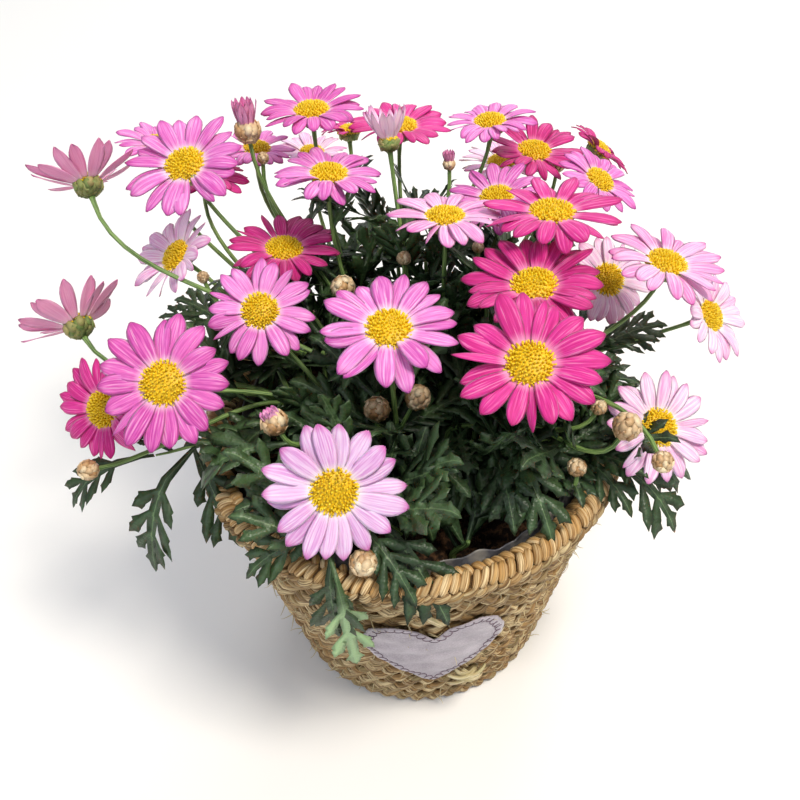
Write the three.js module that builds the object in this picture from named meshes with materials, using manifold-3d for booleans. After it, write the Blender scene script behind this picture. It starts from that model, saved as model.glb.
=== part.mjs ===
// Potted marguerite daisy: a bushy plant in bloom, planted in a lined basket of braided seagrass.
// Millimetres, +Z up. The origin is the centre of the basket's base, on the surface that it stands on.
import * as THREE from 'three';
import { mergeVertices } from 'three/addons/utils/BufferGeometryUtils.js';
import Module from 'manifold-3d';

const wasm = await Module();
wasm.setup();

// Basket: outer sizes over the braid.
const BASKET_HEIGHT = 141;
const RIM_RADIUS = 95;
const RIM_BEAD = 6.5;
const WALL_TOP = BASKET_HEIGHT - 2 * RIM_BEAD;
const WALL_TOP_RADIUS = 91;
const WALL_FOOT_RADIUS = 67;
const WALL_THICKNESS = 8;
const BRAID_ROWS = 11;
const BRAID_BULGE = 1.6;
const ROUND = 32;

// Contents: a thin plastic liner, with the soil a little below the rim.
const CLEARANCE = 0.35;
const BASE_THICKNESS = 8;
const FILM = 1.2;
const LINER_TOP = 137;
const SOIL_TOP = 120;

// Cloth heart on the front of the wall, and the knot of straw beside its point.
const HEART_WIDTH = 63;
const HEART_HEIGHT = 70;
const HEART_THICKNESS = 1.6;
const HEART_BEARING = -87;
const HEART_CENTRE_Z = 74;
const KNOT_BEARING = -75;
const KNOT_Z = 32;
const KNOT_LENGTH = 18;

// Plant.
const STALK_RADIUS = 1.3;
const NECK_RADIUS = 1.7;
const BUD_GRIP = 0.8;
const SHOOT_RADIUS = 2.0;
const STALK_SIDES = 5;
const STALK_STEPS = 4;
const TRUNK_HEIGHT = 16;
const RAYS = 9;
const LEAF_THICKNESS = 1.1;
const SMOOTHING = 0.05;

// The blooms were sighted on a picture of the plant, 800 pixels square. EYE is where it was taken from,
// looking along +Y and down by PITCH degrees, with its focal length in pixels.
const PICTURE_MIDDLE = 400;
const FOCAL = 900;
const EYE = new THREE.Vector3(-4, -285, 431);
const PITCH = THREE.MathUtils.degToRad(44.6);
const ROLL = THREE.MathUtils.degToRad(-3.4);
const forward = new THREE.Vector3(0, Math.cos(PITCH), -Math.sin(PITCH));
const sideways = new THREE.Vector3(1, 0, 0);
const upright = sideways.clone().cross(forward);
const right = sideways.clone().multiplyScalar(Math.cos(ROLL)).addScaledVector(upright, Math.sin(ROLL));
const up = upright.clone().multiplyScalar(Math.cos(ROLL)).addScaledVector(sideways, -Math.sin(ROLL));

// Each bloom: x and y are the pixel of its disc, width is how wide its rays look in pixels, and span
// is its real width in millimetres, which give its distance. open is how squarely it faces the eye
// (1 is face on, below 0 is from behind), lean is where it tips in the picture, in degrees from the
// right towards the top, and cup is how far the rays rise from flat, in degrees.
// Each bud: the same readings, with width and span across the bud itself.
const SPRAYS = {
  back_left: {
    blooms: [
      { x: 88, y: 184, width: 112, span: 49, open: -0.35, lean: 107, cup: 24, ray: 'pink', sway: 2 },
      { x: 158, y: 146, width: 84, span: 41, open: 0.45, lean: 92, cup: 6, ray: 'pink' },
      { x: 205, y: 177, width: 92, span: 44, open: 0.42, lean: 88, cup: 4, ray: 'hot' },
    ],
    buds: [],
  },
  left: {
    blooms: [
      { x: 78, y: 325, width: 116, span: 51, open: -0.35, lean: 119, cup: 24, ray: 'pink' },
      { x: 178, y: 257, width: 105, span: 48, open: 0.52, lean: 147, cup: 14, ray: 'pale' },
      { x: 105, y: 409, width: 112, span: 47, open: 0.75, lean: 185, cup: 4, ray: 'hot' },
    ],
    buds: [{ x: 88, y: 470, width: 21, span: 8.7, lean: 190 }],
  },
  front_left: {
    blooms: [
      { x: 164, y: 384, width: 143, span: 56, open: 0.97, lean: 150, cup: 6, ray: 'pink' },
      { x: 260, y: 312, width: 113, span: 47, open: 0.95, lean: 100, cup: 4, ray: 'pink' },
    ],
    buds: [{ x: 273, y: 420, width: 28, span: 11, lean: 120 }],
  },
  front: {
    blooms: [
      { x: 334, y: 491, width: 150, span: 55.5, open: 0.97, lean: 270, cup: 4, ray: 'pale' },
      { x: 389, y: 330, width: 147, span: 57, open: 0.78, lean: 92, cup: 4, ray: 'pink' },
    ],
    buds: [
      { x: 363, y: 563, width: 28, span: 10.6, lean: 260 },
      { x: 377, y: 409, width: 26, span: 11, lean: 90 },
      { x: 418, y: 397, width: 26, span: 11, lean: 60 },
    ],
  },
  centre_left: {
    blooms: [
      { x: 284, y: 251, width: 116, span: 52, open: 0.6, lean: 92, cup: 6, ray: 'magenta' },
      { x: 186, y: 166, width: 128, span: 56, open: 0.7, lean: 118, cup: 8, ray: 'pink' },
    ],
    buds: [{ x: 343, y: 287, width: 24, span: 10.4, lean: 100 }],
  },
  back_inner: {
    blooms: [
      { x: 257, y: 151, width: 76, span: 37, open: 0.5, lean: 90, cup: 8, ray: 'pink' },
      { x: 312, y: 113, width: 108, span: 49, open: 0.45, lean: 96, cup: 10, ray: 'pink' },
      { x: 329, y: 176, width: 111, span: 48, open: 0.48, lean: 90, cup: 4, ray: 'pink' },
      { x: 312, y: 155, width: 74, span: 38, open: 0.45, lean: 92, cup: 16, ray: 'pale' },
    ],
    buds: [
      { x: 246, y: 120, width: 27, span: 12, lean: 100, long: 1.7 },
      { x: 263, y: 158, width: 12, span: 5.5, lean: 90 },
    ],
  },
  back: {
    blooms: [
      { x: 349, y: 133, width: 62, span: 33, open: 0.15, lean: 95, cup: 14, ray: 'hot' },
      { x: 389, y: 143, width: 60, span: 26.6, open: 0.1, lean: 97, cup: 48, ray: 'pale' },
      { x: 400, y: 128, width: 104, span: 49, open: 0.4, lean: 88, cup: 6, ray: 'hot' },
      { x: 490, y: 124, width: 94, span: 44, open: 0.4, lean: 92, cup: 6, ray: 'pink', sway: 8 },
    ],
    buds: [{ x: 449, y: 160, width: 13, span: 6, lean: 92, long: 1.6 }],
  },
  centre: {
    blooms: [
      { x: 445, y: 219, width: 120, span: 50, open: 0.42, lean: 90, cup: 4, ray: 'pale' },
      { x: 497, y: 200, width: 104, span: 47, open: 0.66, lean: 98, cup: 8, ray: 'pink' },
      { x: 503, y: 164, width: 93, span: 48.5, open: 0.45, lean: 92, cup: 8, ray: 'pale' },
      { x: 534, y: 153, width: 102, span: 50, open: 0.55, lean: 78, cup: 10, ray: 'magenta' },
    ],
    buds: [{ x: 478, y: 247, width: 12, span: 5.2, lean: 90 }],
  },
  front_right: {
    blooms: [
      { x: 530, y: 365, width: 157, span: 56, open: 0.92, lean: 90, cup: 8, ray: 'hot' },
      { x: 534, y: 287, width: 148, span: 58, open: 0.68, lean: 90, cup: 8, ray: 'magenta' },
      { x: 552, y: 214, width: 140, span: 57.5, open: 0.48, lean: 84, cup: 4, ray: 'hot' },
    ],
    buds: [{ x: 578, y: 467, width: 17, span: 7, lean: 90 }],
  },
  back_right: {
    blooms: [
      { x: 598, y: 151, width: 76, span: 39, open: 0.12, lean: 48, cup: 10, ray: 'magenta' },
      { x: 598, y: 182, width: 92, span: 43, open: 0.5, lean: 50, cup: 4, ray: 'pink' },
      { x: 607, y: 280, width: 98, span: 46, open: 0.88, lean: 20, cup: 0, ray: 'pale' },
    ],
    buds: [{ x: 558, y: 164, width: 16, span: 8, lean: 80 }],
  },
  right: {
    blooms: [
      { x: 666, y: 265, width: 124, span: 52, open: 0.52, lean: 66, cup: 6, ray: 'pale' },
      { x: 708, y: 316, width: 105, span: 47, open: 0.5, lean: 20, cup: 14, ray: 'pale' },
      { x: 657, y: 428, width: 118, span: 48, open: 0.85, lean: 10, cup: 6, ray: 'pale' },
    ],
    buds: [
      { x: 627, y: 426, width: 29, span: 11, lean: 60 },
      { x: 663, y: 462, width: 22, span: 8.3, lean: 300, sway: 6 },
    ],
  },
};

// Each leafy shoot ends at `tip`, and each of its leaves at a point of its own: a pixel, and how far off it
// is along the view in millimetres. The leaves that hang over the rim are the ones that the picture shows.
const SHOOTS = {
  left: {
    tip: [150, 456, 395],
    leaves: [[73, 508, 396], [120, 430, 400], [156, 572, 398], [243, 548, 385], [262, 440, 392]],
  },
  front_left: {
    tip: [328, 558, 342],
    leaves: [[357, 663, 382], [339, 634, 368], [246, 578, 352], [417, 606, 342], [449, 625, 352]],
  },
  front_right: {
    tip: [490, 425, 382],
    leaves: [[553, 547, 355], [515, 537, 354], [572, 493, 368], [430, 510, 365], [450, 420, 380]],
  },
  right: {
    tip: [575, 445, 385],
    root: 0.75,
    leaves: [[697, 453, 388], [659, 494, 384], [645, 531, 384], [690, 550, 398], [653, 390, 405]],
  },
  right_high: {
    tip: [590, 350, 410],
    leaves: [[672, 322, 415], [682, 345, 425], [640, 395, 420], [560, 330, 420]],
  },
  left_high: {
    tip: [215, 325, 440],
    root: 0.28,
    leaves: [[148, 292, 450], [160, 335, 440], [210, 290, 460], [265, 350, 430]],
  },
  middle_right: {
    tip: [440, 300, 420],
    leaves: [[405, 265, 425], [480, 290, 415], [430, 345, 400], [470, 340, 415]],
  },
  middle_back: {
    tip: [395, 225, 465],
    leaves: [[370, 195, 470], [430, 190, 475], [350, 240, 465], [440, 250, 470]],
  },
  back_right: {
    tip: [520, 250, 480],
    leaves: [[560, 240, 495], [490, 225, 500], [590, 260, 480], [545, 290, 475]],
  },
};

const finish = (color, roughness = 0.8) => new THREE.MeshStandardMaterial({ color, roughness });
const materials = {
  straw: finish('#b9965f', 0.85),
  goldenStraw: finish('#d9ab62', 0.7),
  film: finish('#77757a', 0.3),
  peat: finish('#2b201a', 1),
  cloth: finish('#c2b4c6', 0.95),
  stalk: finish('#5f7a3d', 0.6),
  leaf: finish('#2f4f35', 0.65),
  pale: finish('#eec4e4', 0.6),
  pink: finish('#dc72bd', 0.6),
  hot: finish('#ec3fa2', 0.6),
  magenta: finish('#c41f80', 0.6),
};

function solidOf(geometry) {
  const bare = geometry.clone();
  bare.deleteAttribute('normal');
  bare.deleteAttribute('uv');
  const merged = mergeVertices(bare, 1e-3);
  return new wasm.Manifold(new wasm.Mesh({
    numProp: 3,
    vertProperties: merged.attributes.position.array,
    triVerts: new Uint32Array(merged.index.array),
  }));
}

function geometryOf(solid) {
  const { vertProperties, triVerts } = solid.getMesh();
  const geometry = new THREE.BufferGeometry();
  geometry.setAttribute('position', new THREE.BufferAttribute(vertProperties, 3));
  geometry.setIndex(new THREE.BufferAttribute(triVerts, 1));
  geometry.computeVertexNormals();
  return geometry;
}

const joined = (solids) => solids.reduce((whole, piece) => whole.add(piece));

// A turned solid about +Z, from [radius, height] pairs that run up the outside and back down the axis.
function turned(profile, segments = ROUND) {
  const points = profile.map(([radius, height]) => new THREE.Vector2(radius, height));
  return new THREE.LatheGeometry(points, segments).rotateX(Math.PI / 2);
}

// Turns geometry drawn with its front along +Z so that it faces `direction`, then sets it at `place`.
function faced(geometry, place, direction) {
  const turn = new THREE.Quaternion().setFromUnitVectors(new THREE.Vector3(0, 0, 1), direction);
  return geometry.applyMatrix4(new THREE.Matrix4().compose(place, turn, new THREE.Vector3(1, 1, 1)));
}

function tube(curve, radius, steps = STALK_STEPS) {
  const section = new THREE.Shape();
  for (let i = 0; i < STALK_SIDES; i++) {
    const angle = (i / STALK_SIDES) * 2 * Math.PI;
    const corner = [radius * Math.cos(angle), radius * Math.sin(angle)];
    if (i === 0) section.moveTo(...corner);
    else section.lineTo(...corner);
  }
  return new THREE.ExtrudeGeometry(section, { steps, extrudePath: curve, bevelEnabled: false });
}

// Places and directions, from where each bloom, bud and shoot is seen

// The line of sight through a pixel, one millimetre deep along the view.
function sightLine({ x, y }) {
  return forward.clone()
    .addScaledVector(right, (x - PICTURE_MIDDLE) / FOCAL)
    .addScaledVector(up, (PICTURE_MIDDLE - y) / FOCAL);
}

const placeOf = (reading) => EYE.clone()
  .addScaledVector(sightLine(reading), reading.depth ?? (FOCAL * reading.span) / reading.width);

// The direction that a bloom or bud faces.
function facingOf({ x, y, open = 0.3, lean }) {
  const away = sightLine({ x, y }).normalize();
  const angle = THREE.MathUtils.degToRad(lean);
  const tip = right.clone().multiplyScalar(Math.cos(angle)).addScaledVector(up, Math.sin(angle));
  tip.addScaledVector(away, -tip.dot(away)).normalize();
  return tip.multiplyScalar(Math.sqrt(1 - open * open)).addScaledVector(away, -open).normalize();
}

// The basket, its liner and the soil

// The wall leans outwards, and each braided row swells it a little.
const wallRadius = (z) => THREE.MathUtils.lerp(WALL_FOOT_RADIUS, WALL_TOP_RADIUS, z / WALL_TOP);

function basketWall() {
  const rowHeight = WALL_TOP / BRAID_ROWS;
  const outside = [[wallRadius(0) - BRAID_BULGE, 0]];
  for (let row = 0; row < BRAID_ROWS; row++) {
    const crest = (row + 0.5) * rowHeight;
    const groove = (row + 1) * rowHeight;
    outside.push([wallRadius(crest), crest], [wallRadius(groove) - BRAID_BULGE, groove]);
  }
  const inside = [WALL_TOP, 0].map((z) => [wallRadius(z) - WALL_THICKNESS, z]);
  return turned([...outside, ...inside, outside[0]]);
}

function basketRim() {
  const ring = new THREE.TorusGeometry(RIM_RADIUS - RIM_BEAD, RIM_BEAD - CLEARANCE / 2, 8, ROUND);
  return ring.translate(0, 0, BASKET_HEIGHT - RIM_BEAD);
}

function basketBase() {
  const radius = WALL_FOOT_RADIUS - WALL_THICKNESS - CLEARANCE;
  return turned([[0, 0], [radius, 0], [radius, BASE_THICKNESS], [0, BASE_THICKNESS]]);
}

// The liner stands against the wall and its edge shows inside the rim.
const linerRadius = (z) => Math.min(
  wallRadius(z) - WALL_THICKNESS,
  RIM_RADIUS - 2 * RIM_BEAD,
) - CLEARANCE;

function liner() {
  const floor = BASE_THICKNESS + CLEARANCE;
  const neck = WALL_TOP - 6;
  return turned([
    [0, floor],
    [linerRadius(floor), floor],
    [linerRadius(neck), neck],
    [linerRadius(LINER_TOP), LINER_TOP],
    [linerRadius(LINER_TOP) - FILM, LINER_TOP],
    [linerRadius(neck) - FILM, neck],
    [linerRadius(floor) - FILM, floor + FILM],
    [0, floor + FILM],
  ]);
}

function soil() {
  const floor = BASE_THICKNESS + FILM + 2 * CLEARANCE;
  const inside = (z) => linerRadius(z) - FILM - CLEARANCE;
  return turned([
    [0, floor],
    [inside(floor), floor],
    [inside(SOIL_TOP - 4), SOIL_TOP - 4],
    [inside(SOIL_TOP) - 5, SOIL_TOP],
    [0, SOIL_TOP],
  ]);
}

// The heart label and the straw knot

// The heart is cut from a thin shell that follows the wall, so it curves with the basket.
function heartPatch() {
  const side = HEART_WIDTH / 2;
  const top = HEART_HEIGHT / 2;
  const heart = new THREE.Shape();
  heart.moveTo(0, -top);
  heart.quadraticCurveTo(side * 0.95, -top * 0.25, side, top * 0.35);
  heart.quadraticCurveTo(side * 0.75, top * 1.35, 0, top * 0.5);
  heart.quadraticCurveTo(-side * 0.75, top * 1.35, -side, top * 0.35);
  heart.quadraticCurveTo(-side * 0.95, -top * 0.25, 0, -top);
  const bearing = THREE.MathUtils.degToRad(HEART_BEARING);
  const outward = new THREE.Vector3(Math.cos(bearing), Math.sin(bearing), 0);
  const across = new THREE.Vector3(-Math.sin(bearing), Math.cos(bearing), 0);
  const frame = new THREE.Matrix4()
    .makeBasis(across, new THREE.Vector3(0, 0, 1), outward)
    .setPosition(0, 0, HEART_CENTRE_Z);
  const cutter = new THREE.ExtrudeGeometry(heart, {
    depth: 2 * RIM_RADIUS, bevelEnabled: false, curveSegments: 6,
  }).applyMatrix4(frame);
  const ends = [HEART_CENTRE_Z - HEART_HEIGHT, HEART_CENTRE_Z + HEART_HEIGHT];
  const back = ends.map((z) => [wallRadius(z) + CLEARANCE, z]);
  const front = ends.map((z) => [wallRadius(z) + CLEARANCE + HEART_THICKNESS, z]);
  const shell = turned([front[0], front[1], back[1], back[0], front[0]]);
  return geometryOf(solidOf(shell).intersect(solidOf(cutter)));
}

function strawKnot() {
  const bearing = THREE.MathUtils.degToRad(KNOT_BEARING);
  const thickness = 3.5;
  const outward = new THREE.Vector3(Math.cos(bearing), Math.sin(bearing), 0);
  const along = new THREE.Vector3(-Math.sin(bearing), Math.cos(bearing), 0.25).normalize();
  const middle = outward.clone().multiplyScalar(wallRadius(KNOT_Z) + thickness - 0.9).setZ(KNOT_Z);
  const half = turned([[0, 0], [2.2, 1], [4.5, KNOT_LENGTH / 2], [0, KNOT_LENGTH / 2]], 8);
  const flat = new THREE.Matrix4().makeScale(1, thickness / 4.5, 1);
  const wings = [1, -1].map((side) => {
    const frame = new THREE.Matrix4().makeBasis(
      new THREE.Vector3().crossVectors(outward, along.clone().multiplyScalar(side)),
      outward,
      along.clone().multiplyScalar(side),
    ).setPosition(middle);
    return solidOf(half.clone().applyMatrix4(flat).applyMatrix4(frame));
  });
  const bead = solidOf(new THREE.IcosahedronGeometry(3.4, 1).translate(middle.x, middle.y, middle.z));
  return geometryOf(joined([...wings, bead]));
}

// The plant: blooms, buds, stalks and leafy shoots

const neckDepth = (span) => 0.12 * span + 1.2;

// A flower head: the cup of green bracts below, the ring of rays, and the domed yellow disc on top.
function bloomHead({ span, cup }) {
  const reach = span / 2;
  const rise = THREE.MathUtils.degToRad(cup);
  const discRadius = 0.155 * span;
  const discShown = discRadius * Math.cos(rise);
  const tipRing = 3;
  const profile = [
    [0, -neckDepth(span)],
    [NECK_RADIUS, -neckDepth(span)],
    [discRadius * 0.95, -2.6],
    [reach * Math.cos(rise), reach * Math.sin(rise)],
    [discShown, 0.4],
    [discShown * 0.6, 3.2],
    [0, 4.2],
  ];
  const head = turned(profile, 2 * RAYS);
  const place = head.attributes.position;
  for (let i = 0; i < place.count; i++) {
    const ring = i % profile.length;
    const spoke = Math.floor(i / profile.length);
    if (ring === tipRing && spoke % 2 === 1) {
      place.setXYZ(i, 0.62 * place.getX(i), 0.62 * place.getY(i), 0.62 * place.getZ(i));
    }
  }
  return head;
}

// A closed bud, round or, where `long` is above 1, half open and taller than it is wide.
function budHead({ span, long = 1 }) {
  const half = span / 2;
  const height = span * long;
  return turned([
    [0, 0], [half * 0.75, height * 0.12], [half, height * 0.5], [half * 0.65, height * 0.87], [0, height],
  ], 7);
}

// A stalk leaves `from` upwards and arrives at `to` along the way that the head faces. `sway` bows it
// sideways by so many millimetres.
function stalkCurve(from, to, facing, sway = 0) {
  const reach = from.distanceTo(to);
  const side = new THREE.Vector3(from.y - to.y, to.x - from.x, 0).normalize().multiplyScalar(sway);
  const start = from.clone().add(new THREE.Vector3(0, 0, 0.42 * reach)).add(side);
  const end = to.clone().addScaledVector(facing, -0.35 * reach).add(side);
  return new THREE.CubicBezierCurve3(from, start, end, to);
}

// Where each head of a spray stands: its place, the way it faces, and the neck that its stalk meets.
function placed(readings, depthOf) {
  return readings.map((reading) => {
    const place = placeOf(reading);
    const facing = facingOf(reading);
    const neck = place.clone().addScaledVector(facing, -depthOf(reading));
    return { reading, place, facing, neck };
  });
}

// A short upright trunk on the soil, below the point `share` of the way out to `target`.
function trunkUnder(target, share) {
  const root = new THREE.Vector3(share * target.x, share * target.y, SOIL_TOP + CLEARANCE);
  const fork = root.clone().setZ(SOIL_TOP + TRUNK_HEIGHT);
  const trunk = tube(new THREE.LineCurve3(root, fork), SHOOT_RADIUS, 1);
  const knot = new THREE.IcosahedronGeometry(1.3 * SHOOT_RADIUS, 0).translate(fork.x, fork.y, fork.z);
  return { fork, solid: solidOf(trunk).add(solidOf(knot)) };
}

// The stalks of one spray part at the top of its trunk and end at its blooms and buds.
function stalks({ blooms, buds, root = 0.42 }) {
  const ends = [...blooms, ...buds];
  const middle = ends.reduce((sum, end) => sum.add(end.neck), new THREE.Vector3())
    .divideScalar(ends.length);
  const { fork, solid } = trunkUnder(middle, root);
  const stems = ends.map(({ neck, facing, reading }) => (
    solidOf(tube(stalkCurve(fork, neck, facing, reading.sway), STALK_RADIUS))
  ));
  const closed = buds.map(({ reading, neck, facing }) => (
    solidOf(faced(budHead(reading), neck.clone().addScaledVector(facing, -BUD_GRIP), facing))
  ));
  return joined([solid, ...stems, ...closed]).simplify(SMOOTHING);
}

// A leaf cut deeply into pointed lobes: its outline as [share of length, half width as a share of it].
const LEAF_OUTLINE = [[0, 0.02], [0.36, 0.03], [0.46, 0.18], [0.57, 0.06], [0.73, 0.21],
  [0.81, 0.07], [0.9, 0.12]];

// The blade follows a midrib that rises from the shoot, swings clear of the rim and hangs to its tip.
function leaf(from, to) {
  const length = from.distanceTo(to);
  const drop = Math.max(0, from.z - to.z);
  const rise = new THREE.Vector3(0, 0, 1);
  const outward = new THREE.Vector3(to.x, to.y, 0).normalize();
  const level = new THREE.Vector3(to.x - from.x, to.y - from.y, 0);
  const first = from.clone().addScaledVector(level, 0.45)
    .addScaledVector(rise, 0.18 * length).addScaledVector(outward, 0.3 * drop);
  const second = to.clone().addScaledVector(level, -0.15)
    .addScaledVector(rise, 0.12 * length + 0.75 * drop).addScaledVector(outward, 0.2 * drop);
  const midrib = new THREE.CubicBezierCurve3(from, first, second, to);
  const side = to.clone().sub(from).cross(rise.addScaledVector(outward, 0.5)).normalize();
  const half = LEAF_OUTLINE.map(([share, out]) => new THREE.Vector2(share, out));
  const otherHalf = half.map(({ x, y }) => new THREE.Vector2(x, -y));
  const blade = new THREE.Shape([...otherHalf, new THREE.Vector2(1, 0), ...half.toReversed()]);
  const geometry = new THREE.ExtrudeGeometry(blade, { depth: 1, bevelEnabled: false });
  const place = geometry.attributes.position;
  for (let i = 0; i < place.count; i++) {
    const share = place.getX(i);
    const tangent = midrib.getTangent(share);
    const normal = tangent.cross(side).normalize();
    const point = midrib.getPoint(share)
      .addScaledVector(side, place.getY(i) * length)
      .addScaledVector(normal, (place.getZ(i) - 0.5) * LEAF_THICKNESS);
    place.setXYZ(i, ...point);
  }
  return solidOf(geometry);
}

// A leafy shoot. A leaf that would touch what has already grown is lifted or lowered until it is clear.
function leafyShoot({ tip, leaves, root = 0.5 }, grown) {
  const [x, y, depth] = tip;
  const top = placeOf({ x, y, depth });
  const { fork, solid } = trunkUnder(top, root);
  const curve = stalkCurve(fork, top, top.clone().sub(fork).normalize());
  let shoot = solid.add(solidOf(tube(curve, SHOOT_RADIUS)));
  leaves.forEach(([tipX, tipY, tipDepth], i) => {
    const from = curve.getPoint(0.97 - (0.6 * i) / leaves.length);
    for (const lift of [0, 5, -5, 10, -10, 15, -15, 20]) {
      const to = placeOf({ x: tipX, y: tipY, depth: tipDepth }).add(new THREE.Vector3(0, 0, lift));
      const blade = leaf(from, to);
      const clear = blade.volume() > 0 && grown.every((other) => other.minGap(blade, 1) > CLEARANCE);
      if (!clear) continue;
      shoot = shoot.add(blade);
      return;
    }
  });
  return shoot.simplify(SMOOTHING);
}

// Everything put together, basket first

const plantInBasket = new THREE.Group();

function add(name, geometry, material) {
  const mesh = new THREE.Mesh(geometry, material);
  mesh.name = name;
  plantInBasket.add(mesh);
  return mesh;
}

add('basket_wall', basketWall(), materials.straw);
add('basket_base', basketBase(), materials.straw);
add('basket_rim', basketRim(), materials.goldenStraw);
add('liner', liner(), materials.film);
add('soil', soil(), materials.peat);
add('heart_patch', heartPatch(), materials.cloth);
add('straw_knot', strawKnot(), materials.straw);

const grown = [basketRim(), basketWall(), liner(), soil()].map(solidOf);
const sprays = Object.entries(SPRAYS).map(([name, { blooms, buds, root }]) => ({
  name,
  root,
  blooms: placed(blooms, ({ span }) => neckDepth(span) + CLEARANCE),
  buds: placed(buds, ({ span, long = 1 }) => (span * long) / 2),
}));
for (const spray of sprays) {
  spray.blooms.forEach(({ reading, place, facing }, i) => {
    const head = faced(bloomHead(reading), place, facing);
    add(`bloom_${spray.name}_${i + 1}`, head, materials[reading.ray]);
    grown.push(solidOf(head));
  });
}
for (const spray of sprays) {
  const branch = stalks(spray);
  add(`stalks_${spray.name}`, geometryOf(branch), materials.stalk);
  grown.push(branch);
}
for (const [name, reading] of Object.entries(SHOOTS)) {
  const shoot = leafyShoot(reading, grown);
  add(`leafy_shoot_${name}`, geometryOf(shoot), materials.leaf);
  grown.push(shoot);
}

export default plantInBasket;
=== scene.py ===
# %% [markdown]
# A potted marguerite daisy in a braided basket
#
# The CAD model fixes where everything is: the basket, the soil, the stalks, each bloom and each leafy
# shoot. This lesson dresses that frame. Every step says what the real piece is, how it could be made in
# Blender, and why it is made the way it is here. All shapes are worked out in millimetres and turned to
# metres in one place, so the numbers read like the sizes of real things.

# %% Load the frame
import math

import bmesh
import bpy
import numpy as np
from mathutils import Matrix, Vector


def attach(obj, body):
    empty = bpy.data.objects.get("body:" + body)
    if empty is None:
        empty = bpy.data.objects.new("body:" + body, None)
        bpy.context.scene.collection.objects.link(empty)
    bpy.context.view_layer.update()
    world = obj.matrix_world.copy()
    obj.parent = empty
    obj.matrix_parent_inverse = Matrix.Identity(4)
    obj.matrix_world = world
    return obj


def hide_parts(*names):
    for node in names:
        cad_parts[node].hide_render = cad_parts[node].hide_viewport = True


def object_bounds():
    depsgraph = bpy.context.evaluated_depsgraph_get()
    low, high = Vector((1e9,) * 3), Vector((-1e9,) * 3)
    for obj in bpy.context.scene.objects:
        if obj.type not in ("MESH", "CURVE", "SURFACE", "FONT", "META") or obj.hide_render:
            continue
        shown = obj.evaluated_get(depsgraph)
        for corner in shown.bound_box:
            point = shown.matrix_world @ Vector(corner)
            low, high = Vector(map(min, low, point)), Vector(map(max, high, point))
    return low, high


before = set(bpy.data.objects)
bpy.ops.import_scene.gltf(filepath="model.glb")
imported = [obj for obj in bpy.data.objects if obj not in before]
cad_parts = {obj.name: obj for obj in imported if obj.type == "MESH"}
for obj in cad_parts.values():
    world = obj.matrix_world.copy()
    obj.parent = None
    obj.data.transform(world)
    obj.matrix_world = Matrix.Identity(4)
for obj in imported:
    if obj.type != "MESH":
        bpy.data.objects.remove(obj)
cad_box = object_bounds()
MM = 0.001
print("CAD nodes:", len(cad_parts), "box in metres:", cad_box)

# %% [markdown]
# The eye, and how a pixel becomes a place
#
# The plant was measured by sighting along the view: each bloom's pixel gives a line from the eye, and how
# wide it looks gives how far along that line it stands. The same small camera model is used three times:
# to place the blooms, to keep leaves from growing in front of them, and as the scene's camera.

# %% The camera model
PICTURE = 800
FOCAL = 900
EYE = np.array([-4.0, -285.0, 431.0])
PITCH = math.radians(44.6)
ROLL = math.radians(-3.4)
forward = np.array([0.0, math.cos(PITCH), -math.sin(PITCH)])
upright = np.cross([1.0, 0.0, 0.0], forward)
right = math.cos(ROLL) * np.array([1.0, 0.0, 0.0]) + math.sin(ROLL) * upright
up = math.cos(ROLL) * upright - math.sin(ROLL) * np.array([1.0, 0.0, 0.0])


def unit(v):
    """Each vector at length 1."""
    v = np.asarray(v, float)
    return v / np.maximum(np.linalg.norm(v, axis=-1, keepdims=True), 1e-9)


def place_of(x, y, depth):
    """The place in millimetres that a pixel shows, this far in front of the eye."""
    middle = PICTURE / 2
    return EYE + depth * (forward + (x - middle) / FOCAL * right + (middle - y) / FOCAL * up)


def facing_of(x, y, openness, lean):
    """The way a bloom faces: openness is 1 if straight to the eye, lean its direction in the picture."""
    away = unit(place_of(x, y, 1.0) - EYE)
    angle = math.radians(lean)
    tip = math.cos(angle) * right + math.sin(angle) * up
    tip = unit(tip - (tip @ away) * away)
    return unit(math.sqrt(1 - openness**2) * tip - openness * away)


camera = bpy.data.objects.new("camera", bpy.data.cameras.new("camera"))
camera.data.sensor_width = 36
camera.data.lens = 36 * FOCAL / PICTURE
camera.data.clip_start = 0.02
pose = Matrix(np.column_stack([right, up, -forward]).tolist()).to_4x4()
camera.matrix_world = Matrix.Translation((EYE * MM).tolist()) @ pose
bpy.context.collection.objects.link(camera)
bpy.context.scene.camera = camera
print("camera:", camera.data.lens, "mm lens at", (EYE * MM).round(3))

# %% [markdown]
# Floor and light
#
# The stage is a plain pale floor under soft studio light. A large lamp high on the right plays the sun
# through cloud, a wide weak one opposite keeps the shadows open, a third brightens the edges from behind,
# and a pale sky fills in the rest. The lamps are area lamps, as their size sets how soft a shadow is.

# %% Floor, lamps and sky


def linear(code):
    """An sRGB hex colour as the linear RGBA that shaders take."""
    parts = [int(code[i : i + 2], 16) / 255 for i in (1, 3, 5)]
    return [c / 12.92 if c <= 0.04045 else ((c + 0.055) / 1.055) ** 2.4 for c in parts] + [1.0]


def feed(node, inputs):
    """Fills sockets of a node by values or links. A node that is given stands for its first output."""
    for key, value in inputs.items():
        if isinstance(value, bpy.types.Node):
            value = next(socket for socket in value.outputs if socket.enabled)
        if isinstance(value, bpy.types.NodeSocket):
            node.id_data.links.new(value, node.inputs[key])
        else:
            node.inputs[key].default_value = value
    return node


def add(tree, kind, inputs=None, **settings):
    """Adds a node. settings are its properties, and inputs says what feeds its sockets."""
    node = tree.nodes.new(kind)
    for name, value in settings.items():
        setattr(node, name, value)
    return feed(node, inputs or {})


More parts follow.
